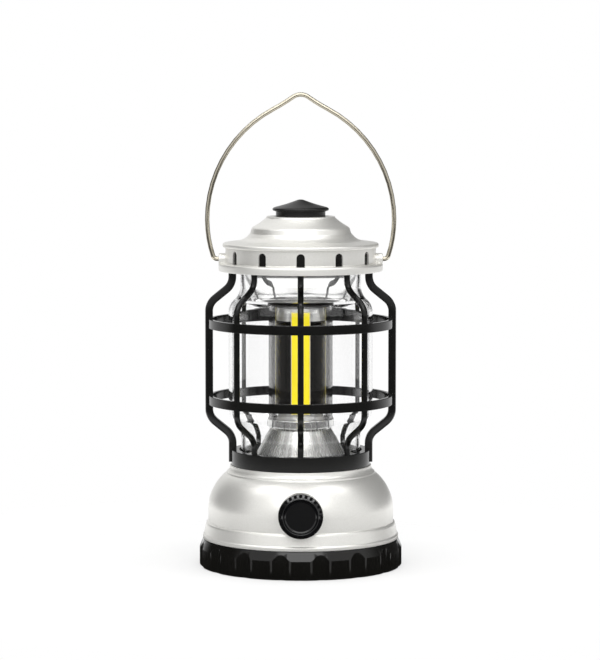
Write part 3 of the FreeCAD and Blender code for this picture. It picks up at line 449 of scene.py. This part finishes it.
rounded = SIDE_RIB_ROUND * SIDE_RIB_CHAMFER
half_section = [
    (outer, SIDE_RIB_HALF_WIDTH - SIDE_RIB_CHAMFER), (outer - rounded, SIDE_RIB_HALF_WIDTH - rounded),
    (outer - SIDE_RIB_CHAMFER, SIDE_RIB_HALF_WIDTH), (inner, SIDE_RIB_HALF_WIDTH)]
section = half_section + [(x, -y) for x, y in reversed(half_section)]
foot_face = side_ribs.faces.new([side_ribs.verts.new((x, y, SIDE_RIB_FOOT)) for x, y in section])
sweep(side_ribs, foot_face, (SIDE_RIB_NECK, 0, SIDE_RIB_FOOT), math.pi / 2,
      rib_moves(SIDE_RIB_NECK, SIDE_RIB_BELLY, SIDE_RIB_FOOT))
repeat_round(side_ribs, 2)
bmesh.ops.recalc_face_normals(side_ribs, faces=side_ribs.faces)
cage_shape = combine(cage_shape, side_ribs, "UNION")
cage_shape = combine(cage_shape, bar(*SOCKET_CUT, segments=RING_STEPS), "DIFFERENCE")

# Satin black: flat faces stay dark, and the round ribs carry one thin line of light along their bends.
cage_nylon = grained_finish("satin_black_nylon", "0e0e0d", "080807", {"IOR": 1.5, "Specular IOR Level": 0.32},
                            rough=(0.12, 0.18), grain_mm=0.3, depth_mm=0.006)
make_piece("cage_front", half_of(cage_shape, -1), cage_nylon, "lantern", "cage_black", "cage_front_half")
make_piece("cage_rear", half_of(cage_shape, 1), cage_nylon, "lantern", "cage_black", "cage_rear_half")
cage_shape.free()

# Globe: a clear acrylic chimney with a belly and two necks, blown to an even wall.
# It stands inside the cage, held at both ends between soft gaskets.

GLOBE_WALL = 2.0
GLOBE_ENDS = (70.2, 183.8)
GLOBE_NECKS = (36.8, 37.2)
GLOBE_BELLY = 44.4
GLOBE_CORNERS = [
    (GLOBE_NECKS[0], 81.84, 2.83), (GLOBE_BELLY, 94.16, 2.83), (GLOBE_BELLY, 161.1, 4.1),
    (GLOBE_NECKS[1], 167.9, 4.1)]
SMEAR_SIZE = 9

# Water clear: bright and dark lines gather at the bends and edges, and the middle is hardly seen.
# Light from the lamps passes straight through, and a faint haze stands for handling.
clear_acrylic, tree, shader, place = start_material("clear_acrylic", {
    "Base Color": linear("ffffff"), "IOR": 1.49, "Transmission Weight": 1.0})
smear = add_node(tree, "ShaderNodeTexNoise", {"Scale": 1 / (SMEAR_SIZE * MM), "Detail": 3},
                 {"Vector": place})
haze = add_node(tree, "ShaderNodeMapRange", {"From Min": 0.5, "To Min": 0.0, "To Max": 0.004},
                {"Value": smear.outputs["Fac"]})
tree.links.new(haze.outputs["Result"], shader.inputs["Roughness"])
acrylic_rays = add_node(tree, "ShaderNodeLightPath")
lamp_light = add_node(tree, "ShaderNodeBsdfTransparent", {"Color": linear("fafafa")})
lamps_pass = add_node(tree, "ShaderNodeMixShader", {}, {
    0: acrylic_rays.outputs["Is Shadow Ray"], 1: shader.outputs["BSDF"], 2: lamp_light.outputs["BSDF"]})
tree.links.new(lamps_pass.outputs["Shader"], tree.nodes["Material Output"].inputs["Surface"])

globe_outer = [
    (GLOBE_NECKS[0], GLOBE_ENDS[0], 0.5), *GLOBE_CORNERS, (GLOBE_NECKS[1], GLOBE_ENDS[1], 0.5)]
globe_inner = [(corner[0] - GLOBE_WALL,) + tuple(corner[1:]) for corner in reversed(globe_outer)]
globe_shape = turned(globe_outer + globe_inner)
make_piece("globe_chimney", globe_shape, clear_acrylic, "lantern", "clear_globe", "globe")

# Inner tube: a length of clear acrylic, extruded as tube stock and sawn off.
# It stands round the lamp post in a ring at its foot and is closed by a dark ring at its head.

TUBE = (18.3, 19.8, 88.5, 161.0)
TUBE_EDGE_SHADE = 0.13
TUBE_RING = (20.3, 19.9, 159.4, 163.3)

tube_shape = turned([
    (TUBE[0], TUBE[2]), (TUBE[1], TUBE[2], 0.3), (TUBE[1], TUBE[3], 0.3), (TUBE[0], TUBE[3])])
# Extruded acrylic: clear in front of the lamp, with painted shade along both sides: its colour turns grey
# where its wall is seen at a slant.
tube_acrylic = clear_acrylic.copy()
tube_acrylic.name = "extruded_clear_acrylic"
tree = tube_acrylic.node_tree
surface = add_node(tree, "ShaderNodeNewGeometry")
level_view = add_node(tree, "ShaderNodeVectorMath", {"operation": "MULTIPLY", 1: (1, 1, 0)}, {
    0: surface.outputs["Incoming"]})
view_heading = add_node(tree, "ShaderNodeVectorMath", {"operation": "NORMALIZE"}, {
    0: level_view.outputs["Vector"]})
squareness = add_node(tree, "ShaderNodeVectorMath", {"operation": "DOT_PRODUCT"}, {
    0: view_heading.outputs["Vector"], 1: surface.outputs["Normal"]})
painted_edge_shade = add_node(tree, "ShaderNodeMapRange", {
    "From Min": 0.56, "From Max": 0.64, "To Min": TUBE_EDGE_SHADE, "To Max": 1.0}, {
    "Value": squareness.outputs["Value"]})
tree.links.new(painted_edge_shade.outputs["Result"], tree.nodes["Principled BSDF"].inputs["Base Color"])
make_piece("inner_tube", tube_shape, tube_acrylic, "lantern", "clear_globe", "clear_tube")

ring_shape = turned([
    (0, TUBE[3]), (TUBE_RING[1], TUBE[3]), (TUBE_RING[1], TUBE_RING[2]), (TUBE_RING[0], TUBE_RING[2], 0.2),
    (TUBE_RING[0], TUBE_RING[3], 0.3), (0, TUBE_RING[3])])
# A dark satin ring: a plain dark line between the bright head of the lamp and the bowl above it.
dark_abs = grained_finish("moulded_dark_abs", "1a1917", "11100f", {"IOR": 1.5, "Specular IOR Level": 0.15},
                          rough=(0.3, 0.4), grain_mm=0.4, depth_mm=0.01)
make_piece("tube_ring", ring_shape, dark_abs, "lantern", "black_moulding", "tube_cap")

# Reflectors: two cups moulded in plastic with a vacuum-plated skin, one under the lamp and one over it.
# The lower one is a cone with a satin skin that stands on the deck. The upper bowl hangs in the cap.
# A plated ring that seats the inner tube stands on the cone.

LOWER_CONE = [(26.6, 69.0), (27.8, 69.0, 0.3), (18.2, 86.5, 0.5), (6, 86.5), (6, 85.3), (17.0, 85.3)]
UPPER_BOWL = [
    (0, 163.3), (20, 163.3), (30.2, 164.4, 2.4), (34.6, 180, 1.0), (34.6, 185), (33.4, 185), (33.4, 180, 1.0),
    (29.2, 165.6, 2.4), (19, 164.5), (0, 164.5)]
TUBE_SEAT = [(6, 86.5), (20.6, 86.5, 0.5), (20.6, 91.5, 0.5), (19.9, 91.5), (19.9, 88.5), (6, 88.5)]
STREAKS_ROUND = 70
MIRROR_SMEAR = 6

# Satin plating: a soft white patch in front, with streaks that run up the cone from its foot.
satin_plating, tree, shader, place = start_material("satin_plating", {"Metallic": 0.9})
way_round = add_node(tree, "ShaderNodeTexGradient", {"gradient_type": "RADIAL"}, {"Vector": place})
streaks = add_node(tree, "ShaderNodeTexNoise", {
    "noise_dimensions": "1D", "Scale": STREAKS_ROUND, "Detail": 3}, {"W": way_round.outputs["Fac"]})
satin_tone = add_node(tree, "ShaderNodeMix", {"data_type": "RGBA", 6: linear("cfcfcc"), 7: linear("f2f2f0")},
                      {0: streaks.outputs["Fac"]})
satin_rough = add_node(tree, "ShaderNodeMapRange", {"To Min": 0.2, "To Max": 0.34},
                       {"Value": streaks.outputs["Fac"]})
satin_bump = add_node(tree, "ShaderNodeBump", {"Strength": 0.4, "Distance": 0.15 * MM},
                      {"Height": streaks.outputs["Fac"]})
tree.links.new(satin_tone.outputs[2], shader.inputs["Base Color"])
tree.links.new(satin_rough.outputs["Result"], shader.inputs["Roughness"])
tree.links.new(satin_bump.outputs["Normal"], shader.inputs["Normal"])
make_piece("lower_cone", turned(LOWER_CONE), satin_plating, "lantern", "plated_mirror", "lower_reflector")

# Mirror plating, a little smeared: it draws the cage and the room in thin bent lines.
plating, tree, shader, place = start_material("vacuum_plated_mirror", {
    "Base Color": linear("f5f5f4"), "Metallic": 0.85})
plating_smear = add_node(tree, "ShaderNodeTexNoise", {"Scale": 1 / (MIRROR_SMEAR * MM), "Detail": 4},
                         {"Vector": place})
plating_rough = add_node(tree, "ShaderNodeMapRange", {"To Min": 0.02, "To Max": 0.1},
                         {"Value": plating_smear.outputs["Fac"]})
tree.links.new(plating_rough.outputs["Result"], shader.inputs["Roughness"])
make_piece("upper_bowl", turned(UPPER_BOWL), plating, "lantern", "plated_mirror", "upper_reflector")
make_piece("tube_seat", turned(TUBE_SEAT), plating, "lantern", "plated_mirror", "tube_base_ring")

# Lamp post: an aluminium tube with three flats, one for each light strip, anodised black along its middle.
# Its two ends are left bright and taper a little, and its foot stands in the tube's seat.

POST_RADIUS = 15.3
POST_WALL = 2.5
POST_LEVELS = (88.5, 96.0, 152.0, 160.9)
POST_TAPER = 1.8
STRIP_SEAT = 14.12
STRIP_LEVELS = (94.6, 157.4)
STRIP_WIDTH = 11.6
STRIP_COUNT = 3
STRIP_PLAY = 0.05
FLAT_OVERRUN = 1
FLAT_EDGE = 0.01
DRAWN_LINE = 0.8
DRAWN_STRETCH = 0.05
RIPPLE_SIZE = 5


def strip_slabs(width, levels, near, far, round_by):
    """A slab with rounded edges on each of the three flats."""
    bm = bmesh.new()
    place = Matrix.Translation(((near + far) / 2, 0, (levels[0] + levels[1]) / 2))
    size = Matrix.Diagonal((far - near, width, levels[1] - levels[0], 1))
    bmesh.ops.create_cube(bm, size=1, matrix=place @ size)
    bmesh.ops.bevel(bm, geom=bm.edges[:], offset=round_by, offset_type="OFFSET", segments=2, profile=0.5,
                    affect="EDGES", material=-1)
    bmesh.ops.rotate(bm, verts=bm.verts, cent=(0, 0, 0), matrix=Matrix.Rotation(-math.pi / 2, 3, "Z"))
    repeat_round(bm, STRIP_COUNT)
    return bm


# Drawn and anodised: a warm black with faint lines along the tube.
post_anodised, tree, shader, place = start_material("black_anodised_aluminium", {"Metallic": 0.6})
drawn = add_node(tree, "ShaderNodeMapping", {"Scale": (1, 1, DRAWN_STRETCH)}, {"Vector": place})
lines = add_node(tree, "ShaderNodeTexNoise", {"Scale": 1 / (DRAWN_LINE * MM), "Detail": 3},
                 {"Vector": drawn.outputs["Vector"]})
tone = add_node(tree, "ShaderNodeMix", {"data_type": "RGBA", 6: linear("0d0b08"), 7: linear("1a1712")},
                {0: lines.outputs["Fac"]})
polish = add_node(tree, "ShaderNodeMapRange", {"To Min": 0.15, "To Max": 0.3},
                  {"Value": lines.outputs["Fac"]})
tree.links.new(tone.outputs[2], shader.inputs["Base Color"])
tree.links.new(polish.outputs["Result"], shader.inputs["Roughness"])
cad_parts["led_column"].data.materials[0] = post_anodised

# Bright rolled aluminium: shallow ripples break the reflections into white patches with thin grey edges.
bright_alloy, tree, shader, place = start_material("bright_rolled_aluminium", {"Metallic": 0.6})
ripple = add_node(tree, "ShaderNodeTexNoise", {"Scale": 1 / (RIPPLE_SIZE * MM), "Detail": 2},
                  {"Vector": place})
alloy = add_node(tree, "ShaderNodeMix", {"data_type": "RGBA", 6: linear("e6e6e4"), 7: linear("fafaf8")},
                 {0: ripple.outputs["Fac"]})
ripple_rough = add_node(tree, "ShaderNodeMapRange", {"To Min": 0.08, "To Max": 0.2},
                        {"Value": ripple.outputs["Fac"]})
ripple_bump = add_node(tree, "ShaderNodeBump", {"Strength": 0.6, "Distance": 0.6 * MM},
                       {"Height": ripple.outputs["Fac"]})
tree.links.new(alloy.outputs[2], shader.inputs["Base Color"])
tree.links.new(ripple_rough.outputs["Result"], shader.inputs["Roughness"])
tree.links.new(ripple_bump.outputs["Normal"], shader.inputs["Normal"])
bore = POST_RADIUS - POST_WALL
end_outlines = {
    "post_foot": [(bore, POST_LEVELS[0]), (POST_RADIUS, POST_LEVELS[0]),
                  (POST_RADIUS - POST_TAPER, POST_LEVELS[1]), (bore, POST_LEVELS[1])],
    "post_head": [(bore, POST_LEVELS[2]), (POST_RADIUS, POST_LEVELS[2]),
                  (POST_RADIUS - POST_TAPER, POST_LEVELS[3], 0.3), (bore, POST_LEVELS[3])]}
flat_levels = (STRIP_LEVELS[0] - STRIP_PLAY, STRIP_LEVELS[1] + STRIP_PLAY)
for post_end, outline in end_outlines.items():
    flats = strip_slabs(STRIP_WIDTH + 2 * STRIP_PLAY, flat_levels, STRIP_SEAT, POST_RADIUS + FLAT_OVERRUN,
                        FLAT_EDGE)
    make_piece("bright_" + post_end, combine(turned(outline), flats, "DIFFERENCE"), bright_alloy, "lantern",
               "plated_mirror", post_end)

# Light strips: three boards with a white solder mask, glued to the flats of the post.
# Each carries a raised bed of yellow phosphor, poured over its row of light chips.

BOARD_THICKNESS = 0.5
BED_INSET = 0.5
BED_THICKNESS = 0.4
BOARD_EDGE = 0.1
BED_EDGE = 0.15
CHIP_SIZE = 1.2

board_top = STRIP_SEAT + BOARD_THICKNESS
boards = strip_slabs(STRIP_WIDTH, STRIP_LEVELS, STRIP_SEAT, board_top, BOARD_EDGE)
# White mask: a thin pale edge round each bed.
white_mask = grained_finish("white_solder_mask", "f6f4e6", "efecd8", {"IOR": 1.5},
                            rough=(0.35, 0.45), grain_mm=0.3, depth_mm=0.01)
make_piece("strip_boards", boards, white_mask, "lantern", "light_strip", "led_strips")

# Phosphor: a strong even yellow with a weak painted glow, as if lit from inside, and a faint mottle of the
# chips under it.
phosphor, tree, shader, place = start_material("yellow_phosphor", {
    "IOR": 1.45, "Roughness": 0.4, "Emission Strength": 0.55})
chips = add_node(tree, "ShaderNodeTexNoise", {"Scale": 1 / (CHIP_SIZE * MM), "Detail": 1}, {"Vector": place})
yellow = add_node(tree, "ShaderNodeMix", {"data_type": "RGBA", 6: linear("fde311"), 7: linear("fff02c")},
                  {0: chips.outputs["Fac"]})
tree.links.new(yellow.outputs[2], shader.inputs["Base Color"])
tree.links.new(yellow.outputs[2], shader.inputs["Emission Color"])
bed_levels = (STRIP_LEVELS[0] + BED_INSET, STRIP_LEVELS[1] - BED_INSET)
beds = strip_slabs(STRIP_WIDTH - 2 * BED_INSET, bed_levels, board_top, board_top + BED_THICKNESS,
                   BED_EDGE)
make_piece("phosphor_beds", beds, phosphor, "lantern", "light_strip")

# Vent collar: a drum of the same silver lacquer over the cage's top ring, with ten arched slots, a rolled rim
# that overhangs the cage, and an ear on each side with a hole for the end of the bail.

DRUM = (45.1, 46.3, 196.8)
RIM = (50.5, 182.3, 187.3)
SLOT_ANGLES = (30, 60, 90, 120, 150, 210, 240, 270, 300, 330)
SLOT_HALF = 2.5
SLOT_LEVELS = (187.3, 192.7)
SLOT_REACH = (44, 48)
BAIL_PIVOT = 189.5
EAR_REACH = (45.2, 50.4)
EAR_FOOT = 186.7
EAR_HALF = 3.5
EAR_EDGE = 0.5
PIN_HOLE = (1.46, 46.6, 52)
COLLAR_OUTLINE = [
    (DRUM[0], 186.1), (47.7, 186.1), (49.3, 184.5), (49.3, RIM[1]), (RIM[0], RIM[1], 0.4),
    (RIM[0], RIM[2], 1.6), (DRUM[1], RIM[2], 0.5), (DRUM[1], DRUM[2], 0.2), (43.1, DRUM[2]), (43.1, 196.0),
    (DRUM[0], 196.0)]
ARCH_STEPS = 16


def arch_block(half, near, far, low, spring):
    """A block with a round top that stands across the X axis: the shape of a vent slot or of an ear."""
    bm = bmesh.new()
    arch = [bm.verts.new((near, half, spring))]
    grown = bmesh.ops.spin(bm, geom=arch, cent=(near, 0, spring), axis=(1, 0, 0), angle=math.pi,
                           steps=ARCH_STEPS)
    last = next(v for v in grown["geom_last"] if isinstance(v, bmesh.types.BMVert))
    foot = [bm.verts.new((near, -half, low)), bm.verts.new((near, half, low))]
    for pair in ((last, foot[0]), (foot[0], foot[1]), (foot[1], arch[0])):
        bm.edges.new(pair)
    face = bmesh.ops.contextual_create(bm, geom=bm.edges[:])["faces"][0]
    run_on(bm, face, (far - near, 0, 0))
    bmesh.ops.recalc_face_normals(bm, faces=bm.faces)
    return bm


collar_shape = turned(COLLAR_OUTLINE)
ears = arch_block(EAR_HALF, *EAR_REACH, EAR_FOOT, BAIL_PIVOT)
soften(ears, EAR_EDGE)
repeat_round(ears, 2)
collar_shape = combine(collar_shape, ears, "UNION")
slots = arch_block(SLOT_HALF, *SLOT_REACH, *SLOT_LEVELS)
copies_at(slots, SLOT_ANGLES)
collar_shape = combine(collar_shape, slots, "DIFFERENCE")
pin_holes = bar(*PIN_HOLE)
face_side = Matrix.Rotation(math.pi / 2, 3, "Y")
bmesh.ops.rotate(pin_holes, verts=pin_holes.verts, cent=(0, 0, 0), matrix=face_side)
bmesh.ops.translate(pin_holes, verts=pin_holes.verts, vec=(0, 0, BAIL_PIVOT))
repeat_round(pin_holes, 2)
collar_shape = combine(collar_shape, pin_holes, "DIFFERENCE")
make_piece("slotted_collar", collar_shape, silver_lacquer, "lantern", "silver_paint", "vent_collar")

# Dome: the stepped cap of the lantern, moulded in ABS and sprayed with the same lacquer.
# It plugs into the collar and carries the finial.

DOME_OUTLINE = [
    (41.4, 194.5), (42.8, 194.5), (42.8, 196.9), (48.0, 196.9, 0.5), (48.0, 199.3, 1.1), (38.6, 200.6),
    (34.9, 201.2, 3.2), (31.0, 205.4, 0.4), (30.1, 208.4, 0.3), (29.2, 209.3, 0.5), (25.1, 211.7, 2.5),
    (21.4, 214.7, 0.2), (20.95, 215.7, 0.3), (2, 215.7), (2, 213.9), (19.6, 213.9), (27.4, 207.5),
    (29.2, 204.3), (36.8, 198.8), (41.4, 198.1)]

make_piece("dome", turned(DOME_OUTLINE), silver_lacquer, "lantern", "silver_paint", "dome_cap")

# Finial: a low pointed cap moulded in black ABS, over the hole at the top of the dome.
# One screw holds it from inside.

FINIAL_STEPS = 96
FINIAL_OUTLINE = [
    (1.7, 215.7), (15.2, 215.7), (15.2, 218.7, 0.3), (17.3, 219.4, 0.3), (17.3, 220.6, 0.4),
    (16.1, 221.3, 0.4), (9.0, 223.2, 3), (1.2, 226.0, 0.8), (0, 226.0), (0, 220.8), (1.7, 220.8)]

finial_shape = turned(FINIAL_OUTLINE, steps=FINIAL_STEPS)
# Satin black: the slopes take a soft grey light from above, and the edge a thin bright line.
finial_abs = grained_finish("satin_black_abs", "161615", "0e0e0d", {"IOR": 1.5, "Specular IOR Level": 0.35},
                            rough=(0.26, 0.34), grain_mm=0.35, depth_mm=0.02)
make_piece("finial_cap", finial_shape, finial_abs, "lantern", "black_moulding", "finial")

# Bail: one length of bright drawn steel wire, bent to a bow with a small peak to hang by.
# Its ends turn in and are sprung into the holes of the collar's ears.

BAIL_WIRE = 1.4
BAIL_PIN = 46.9
WIRE_SIDES = 16
SCUFF_SIZE = 7
BAIL_MOVES = [4.446, (2.6, math.radians(71.577)), (70, math.radians(18.423)), (77, math.radians(62)),
              (114.88, math.radians(-7)), (8, math.radians(35))]

bail_shape = bmesh.new()
wire_end = bmesh.ops.create_circle(
    bail_shape, cap_ends=True, segments=WIRE_SIDES, radius=BAIL_WIRE,
    matrix=Matrix.Translation((BAIL_PIN, 0, BAIL_PIVOT)) @ Matrix.Rotation(math.pi / 2, 4, "Y"))["verts"]
peak_face = sweep(bail_shape, wire_end[0].link_faces[0], (BAIL_PIN, 0, BAIL_PIVOT), 0, BAIL_MOVES)
bmesh.ops.delete(bail_shape, geom=[peak_face], context="FACES_ONLY")
bmesh.ops.mirror(bail_shape, geom=bail_shape.verts[:] + bail_shape.edges[:] + bail_shape.faces[:], axis="X",
                 merge_dist=0.01)

# Drawn steel, warm and a little scuffed: a bright line with a dark edge along each side of the wire.
steel_wire, tree, shader, place = start_material("bright_drawn_steel", {"Metallic": 1.0})
scuffs = add_node(tree, "ShaderNodeTexNoise", {"Scale": 1 / (SCUFF_SIZE * MM), "Detail": 3},
                  {"Vector": place})
steel = add_node(tree, "ShaderNodeMix", {"data_type": "RGBA", 6: linear("b3ac9b"), 7: linear("c6c0b0")},
                 {0: scuffs.outputs["Fac"]})
gloss = add_node(tree, "ShaderNodeMapRange", {"To Min": 0.14, "To Max": 0.22},
                 {"Value": scuffs.outputs["Fac"]})
tree.links.new(steel.outputs[2], shader.inputs["Base Color"])
tree.links.new(gloss.outputs["Result"], shader.inputs["Roughness"])
make_piece("bail", bail_shape, steel_wire, "bail", "bright_steel", "bail_handle")

# Pieces inside the lantern that keep their CAD shapes: cells, carrier, contacts, dimmer, seals and screws.
# Most are seen only when the cover is off: dull plastic and rubber, bright springs and screws, grey cells.

seal_rubber = grained_finish("soft_black_rubber", "242424", "191919", {"IOR": 1.52},
                             rough=(0.6, 0.8), grain_mm=0.4, depth_mm=0.03)
inner_plastic = grained_finish("plain_black_plastic", "222221", "191918", {"IOR": 1.5},
                               rough=(0.4, 0.55), grain_mm=0.4, depth_mm=0.03)
cell_jacket = grained_finish("cell_jacket_film", "585c63", "4a4e55", {"Metallic": 0.5},
                             rough=(0.25, 0.4), grain_mm=1.5, depth_mm=0.02)
spring_brass = grained_finish("spring_brass", "d8cda6", "bfb288", {"Metallic": 1.0},
                              rough=(0.25, 0.4), grain_mm=0.5, depth_mm=0.01)
circuit_board = grained_finish("green_circuit_board", "1d6b3c", "15532e", {"IOR": 1.5},
                               rough=(0.3, 0.45), grain_mm=0.6, depth_mm=0.02)
zinc_plate = grained_finish("zinc_plated_steel", "c9cacb", "b3b5b7", {"Metallic": 1.0},
                            rough=(0.25, 0.4), grain_mm=0.4, depth_mm=0.01)
INNER_FINISHES = {
    seal_rubber: ("cover_seal", "globe_lower_gasket", "globe_upper_gasket"),
    inner_plastic: ("battery_carrier", "contact_disc", "top_plate"),
    cell_jacket: ("d_cells",),
    spring_brass: ("upper_contacts", "lower_contacts"),
    circuit_board: ("driver_board", "dimmer_pot"),
    zinc_plate: (
        "carrier_screws", "cage_screws", "finial_screw", "dimmer_nut", "dimmer_washer", "dimmer_shaft")}
for material, names in INNER_FINISHES.items():
    for name in names:
        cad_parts[name].data.materials[0] = material

# Studio: a white room with a paper floor, a dark flag on each side, a long lamp across the top and a broad
# soft one in front. The floor goes down with the unscrewed cover, which stays standing on it.

FLOOR_REACH = 4.0
FLOOR_GLOW = 1.22
GLOW_SHARE = 0.72
LEFT_FLAG = (-0.93, 0.3, 0.2)
RIGHT_FLAG = (0.62, 0.65, 0.44)
ROOM_LEVEL = 0.85
SOFT_LEVEL = 0.85
THROUGH_CLEAR = 0.15

# White paper: the camera sees the lantern's shadow on it round the foot, and plain white elsewhere.
# Mirrored light meets a painted pool on it: a painted shadow close round the foot, a painted lit ring round
# the lantern and dimmer paper further out in front, so that metal shines, and through the clear pieces it is
# bright, so that they stay clear.
floor_paper, tree, shader, place = start_material("white_paper", {
    "Base Color": linear("f4f4f4"), "Roughness": 0.9})
floor_rays = add_node(tree, "ShaderNodeLightPath")
floor_bounces = add_node(tree, "ShaderNodeMath", {"operation": "ADD"}, {
    0: floor_rays.outputs["Diffuse Depth"], 1: floor_rays.outputs["Glossy Depth"]})
floor_seen = add_node(tree, "ShaderNodeMath", {"operation": "LESS_THAN", 1: 0.5}, {
    0: floor_bounces.outputs["Value"]})
mirrored = add_node(tree, "ShaderNodeMath", {"operation": "GREATER_THAN", 1: 0.5}, {
    0: floor_rays.outputs["Glossy Depth"]})
apart = add_node(tree, "ShaderNodeVectorMath", {"operation": "LENGTH"}, {0: place})
near = add_node(tree, "ShaderNodeMapRange", {
    "From Min": 0.16, "From Max": 0.25, "To Min": 0.02, "To Max": 1.5}, {"Value": apart.outputs["Value"]})
far = add_node(tree, "ShaderNodeMapRange", {
    "From Min": 0.42, "From Max": 0.58, "To Min": 1.0, "To Max": 0.07}, {"Value": apart.outputs["Value"]})
painted_lit_ring = add_node(tree, "ShaderNodeMath", {"operation": "MULTIPLY"}, {
    0: near.outputs["Result"], 1: far.outputs["Result"]})
floor_place = add_node(tree, "ShaderNodeSeparateXYZ", {}, {"Vector": place})
behind = add_node(tree, "ShaderNodeMapRange", {
    "From Min": 0.0, "From Max": 0.5, "To Min": 0.0, "To Max": 1.0}, {"Value": floor_place.outputs["Y"]})
painted_pool = add_node(tree, "ShaderNodeMath", {"operation": "MAXIMUM"}, {
    0: painted_lit_ring.outputs["Value"], 1: behind.outputs["Result"]})
strength = add_node(tree, "ShaderNodeMix", {"data_type": "FLOAT", 3: FLOOR_GLOW}, {
    0: floor_seen.outputs["Value"], 2: painted_pool.outputs["Value"]})
glow = add_node(tree, "ShaderNodeEmission", {"Color": (1, 1, 1, 1)}, {"Strength": strength.outputs[0]})
share = add_node(tree, "ShaderNodeMath", {"operation": "MULTIPLY_ADD", 1: GLOW_SHARE}, {
    0: floor_seen.outputs["Value"], 2: mirrored.outputs["Value"]})
paper = add_node(tree, "ShaderNodeMixShader", {}, {
    0: share.outputs["Value"], 1: shader.outputs["BSDF"], 2: glow.outputs["Emission"]})
clear_share = add_node(tree, "ShaderNodeMapRange", {
    "From Min": 0.07, "From Max": 0.3, "To Min": 0.5, "To Max": 1.0}, {"Value": apart.outputs["Value"]})
unshaded = add_node(tree, "ShaderNodeBsdfTransparent")
foot_shadow = add_node(tree, "ShaderNodeMixShader", {}, {
    0: clear_share.outputs["Result"], 1: shader.outputs["BSDF"], 2: unshaded.outputs["BSDF"]})
floor_finish = add_node(tree, "ShaderNodeMixShader", {}, {
    0: floor_rays.outputs["Is Camera Ray"], 1: paper.outputs["Shader"], 2: foot_shadow.outputs["Shader"]})
tree.links.new(floor_finish.outputs["Shader"], tree.nodes["Material Output"].inputs["Surface"])
floor_shape = bmesh.new()
bmesh.ops.create_grid(floor_shape, x_segments=1, y_segments=1, size=FLOOR_REACH)
floor_mesh = bpy.data.meshes.new("floor")
floor_shape.to_mesh(floor_mesh)
floor_shape.free()
floor_mesh.materials.append(floor_paper)
floor = bpy.data.objects.new("floor", floor_mesh)
bpy.context.scene.collection.objects.link(floor)
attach(floor, "contact_carriage")

# White room: the camera sees it plain white, and a little brighter through the clear pieces.
# Matt surfaces are lit by it evenly, and mirrored light also meets the two dark flags.
world = bpy.data.worlds.new("white_room")
world.use_nodes = True
bpy.context.scene.world = world
tree = world.node_tree
room_rays = add_node(tree, "ShaderNodeLightPath")
toward = add_node(tree, "ShaderNodeTexCoord").outputs["Generated"]
toward_left = add_node(tree, "ShaderNodeVectorMath", {"operation": "DOT_PRODUCT", 1: LEFT_FLAG}, {0: toward})
left_shade = add_node(tree, "ShaderNodeMapRange", {
    "From Min": 0.72, "From Max": 0.92, "To Min": ROOM_LEVEL, "To Max": 0.03}, {
    "Value": toward_left.outputs["Value"]})
toward_right = add_node(tree, "ShaderNodeVectorMath", {"operation": "DOT_PRODUCT", 1: RIGHT_FLAG}, {
    0: toward})
right_shade = add_node(tree, "ShaderNodeMapRange", {
    "From Min": 0.66, "From Max": 0.88, "To Min": 1.0, "To Max": 0.06}, {
    "Value": toward_right.outputs["Value"]})
flagged = add_node(tree, "ShaderNodeMath", {"operation": "MULTIPLY"}, {
    0: left_shade.outputs["Result"], 1: right_shade.outputs["Result"]})
lit = add_node(tree, "ShaderNodeMix", {"data_type": "FLOAT", 3: SOFT_LEVEL}, {
    0: room_rays.outputs["Is Diffuse Ray"], 2: flagged.outputs["Value"]})
room_bounces = add_node(tree, "ShaderNodeMath", {"operation": "ADD"}, {
    0: room_rays.outputs["Diffuse Depth"], 1: room_rays.outputs["Glossy Depth"]})
room_seen = add_node(tree, "ShaderNodeMath", {"operation": "LESS_THAN", 1: 0.5}, {
    0: room_bounces.outputs["Value"]})
white = add_node(tree, "ShaderNodeMath", {"operation": "MULTIPLY_ADD", 1: THROUGH_CLEAR, 2: 1.0}, {
    0: room_rays.outputs["Is Transmission Ray"]})
room_light = add_node(tree, "ShaderNodeMix", {"data_type": "FLOAT"}, {
    0: room_seen.outputs["Value"], 2: lit.outputs[0], 3: white.outputs["Value"]})
tree.links.new(room_light.outputs[0], tree.nodes["Background"].inputs["Strength"])
tree.nodes["Background"].inputs["Color"].default_value = (1, 1, 1, 1)

# Lamps: the place and the sides of each in metres, and its power in watts.
LAMPS = {
    "overhead_strip": ((0, -0.18, 1.35), (2.6, 0.14), 5.5),
    "front_softbox": ((0, -1.25, 1.18), (1.5, 0.85), 10)}
AIM = Vector((0, 0, 0.12))
for name, (stand, sides, power) in LAMPS.items():
    lamp = bpy.data.lights.new(name, "AREA")
    lamp.shape = "RECTANGLE"
    lamp.size = sides[0]
    lamp.size_y = sides[1]
    lamp.energy = power
    holder = bpy.data.objects.new(name, lamp)
    holder.location = stand
    holder.rotation_euler = (AIM - holder.location).to_track_quat("-Z", "Y").to_euler()
    bpy.context.scene.collection.objects.link(holder)

# Camera: a long lens in front of the lantern and a little above its top, tipped down to its middle.
# Colours go to the picture as they are, with no film look.

CAMERA_PLACE = (-0.0004, -1.8, 0.304)
CAMERA_TILT = math.radians(5.03)
SENSOR_WIDTH = 36
FOCAL_LENGTH = 160.0

lens = bpy.data.cameras.new("camera")
lens.sensor_width = SENSOR_WIDTH
lens.lens = FOCAL_LENGTH
camera = bpy.data.objects.new("camera", lens)
camera.location = CAMERA_PLACE
camera.rotation_euler = (math.pi / 2 - CAMERA_TILT, 0, 0)
bpy.context.scene.collection.objects.link(camera)
bpy.context.scene.camera = camera
bpy.context.scene.view_settings.view_transform = "Standard"
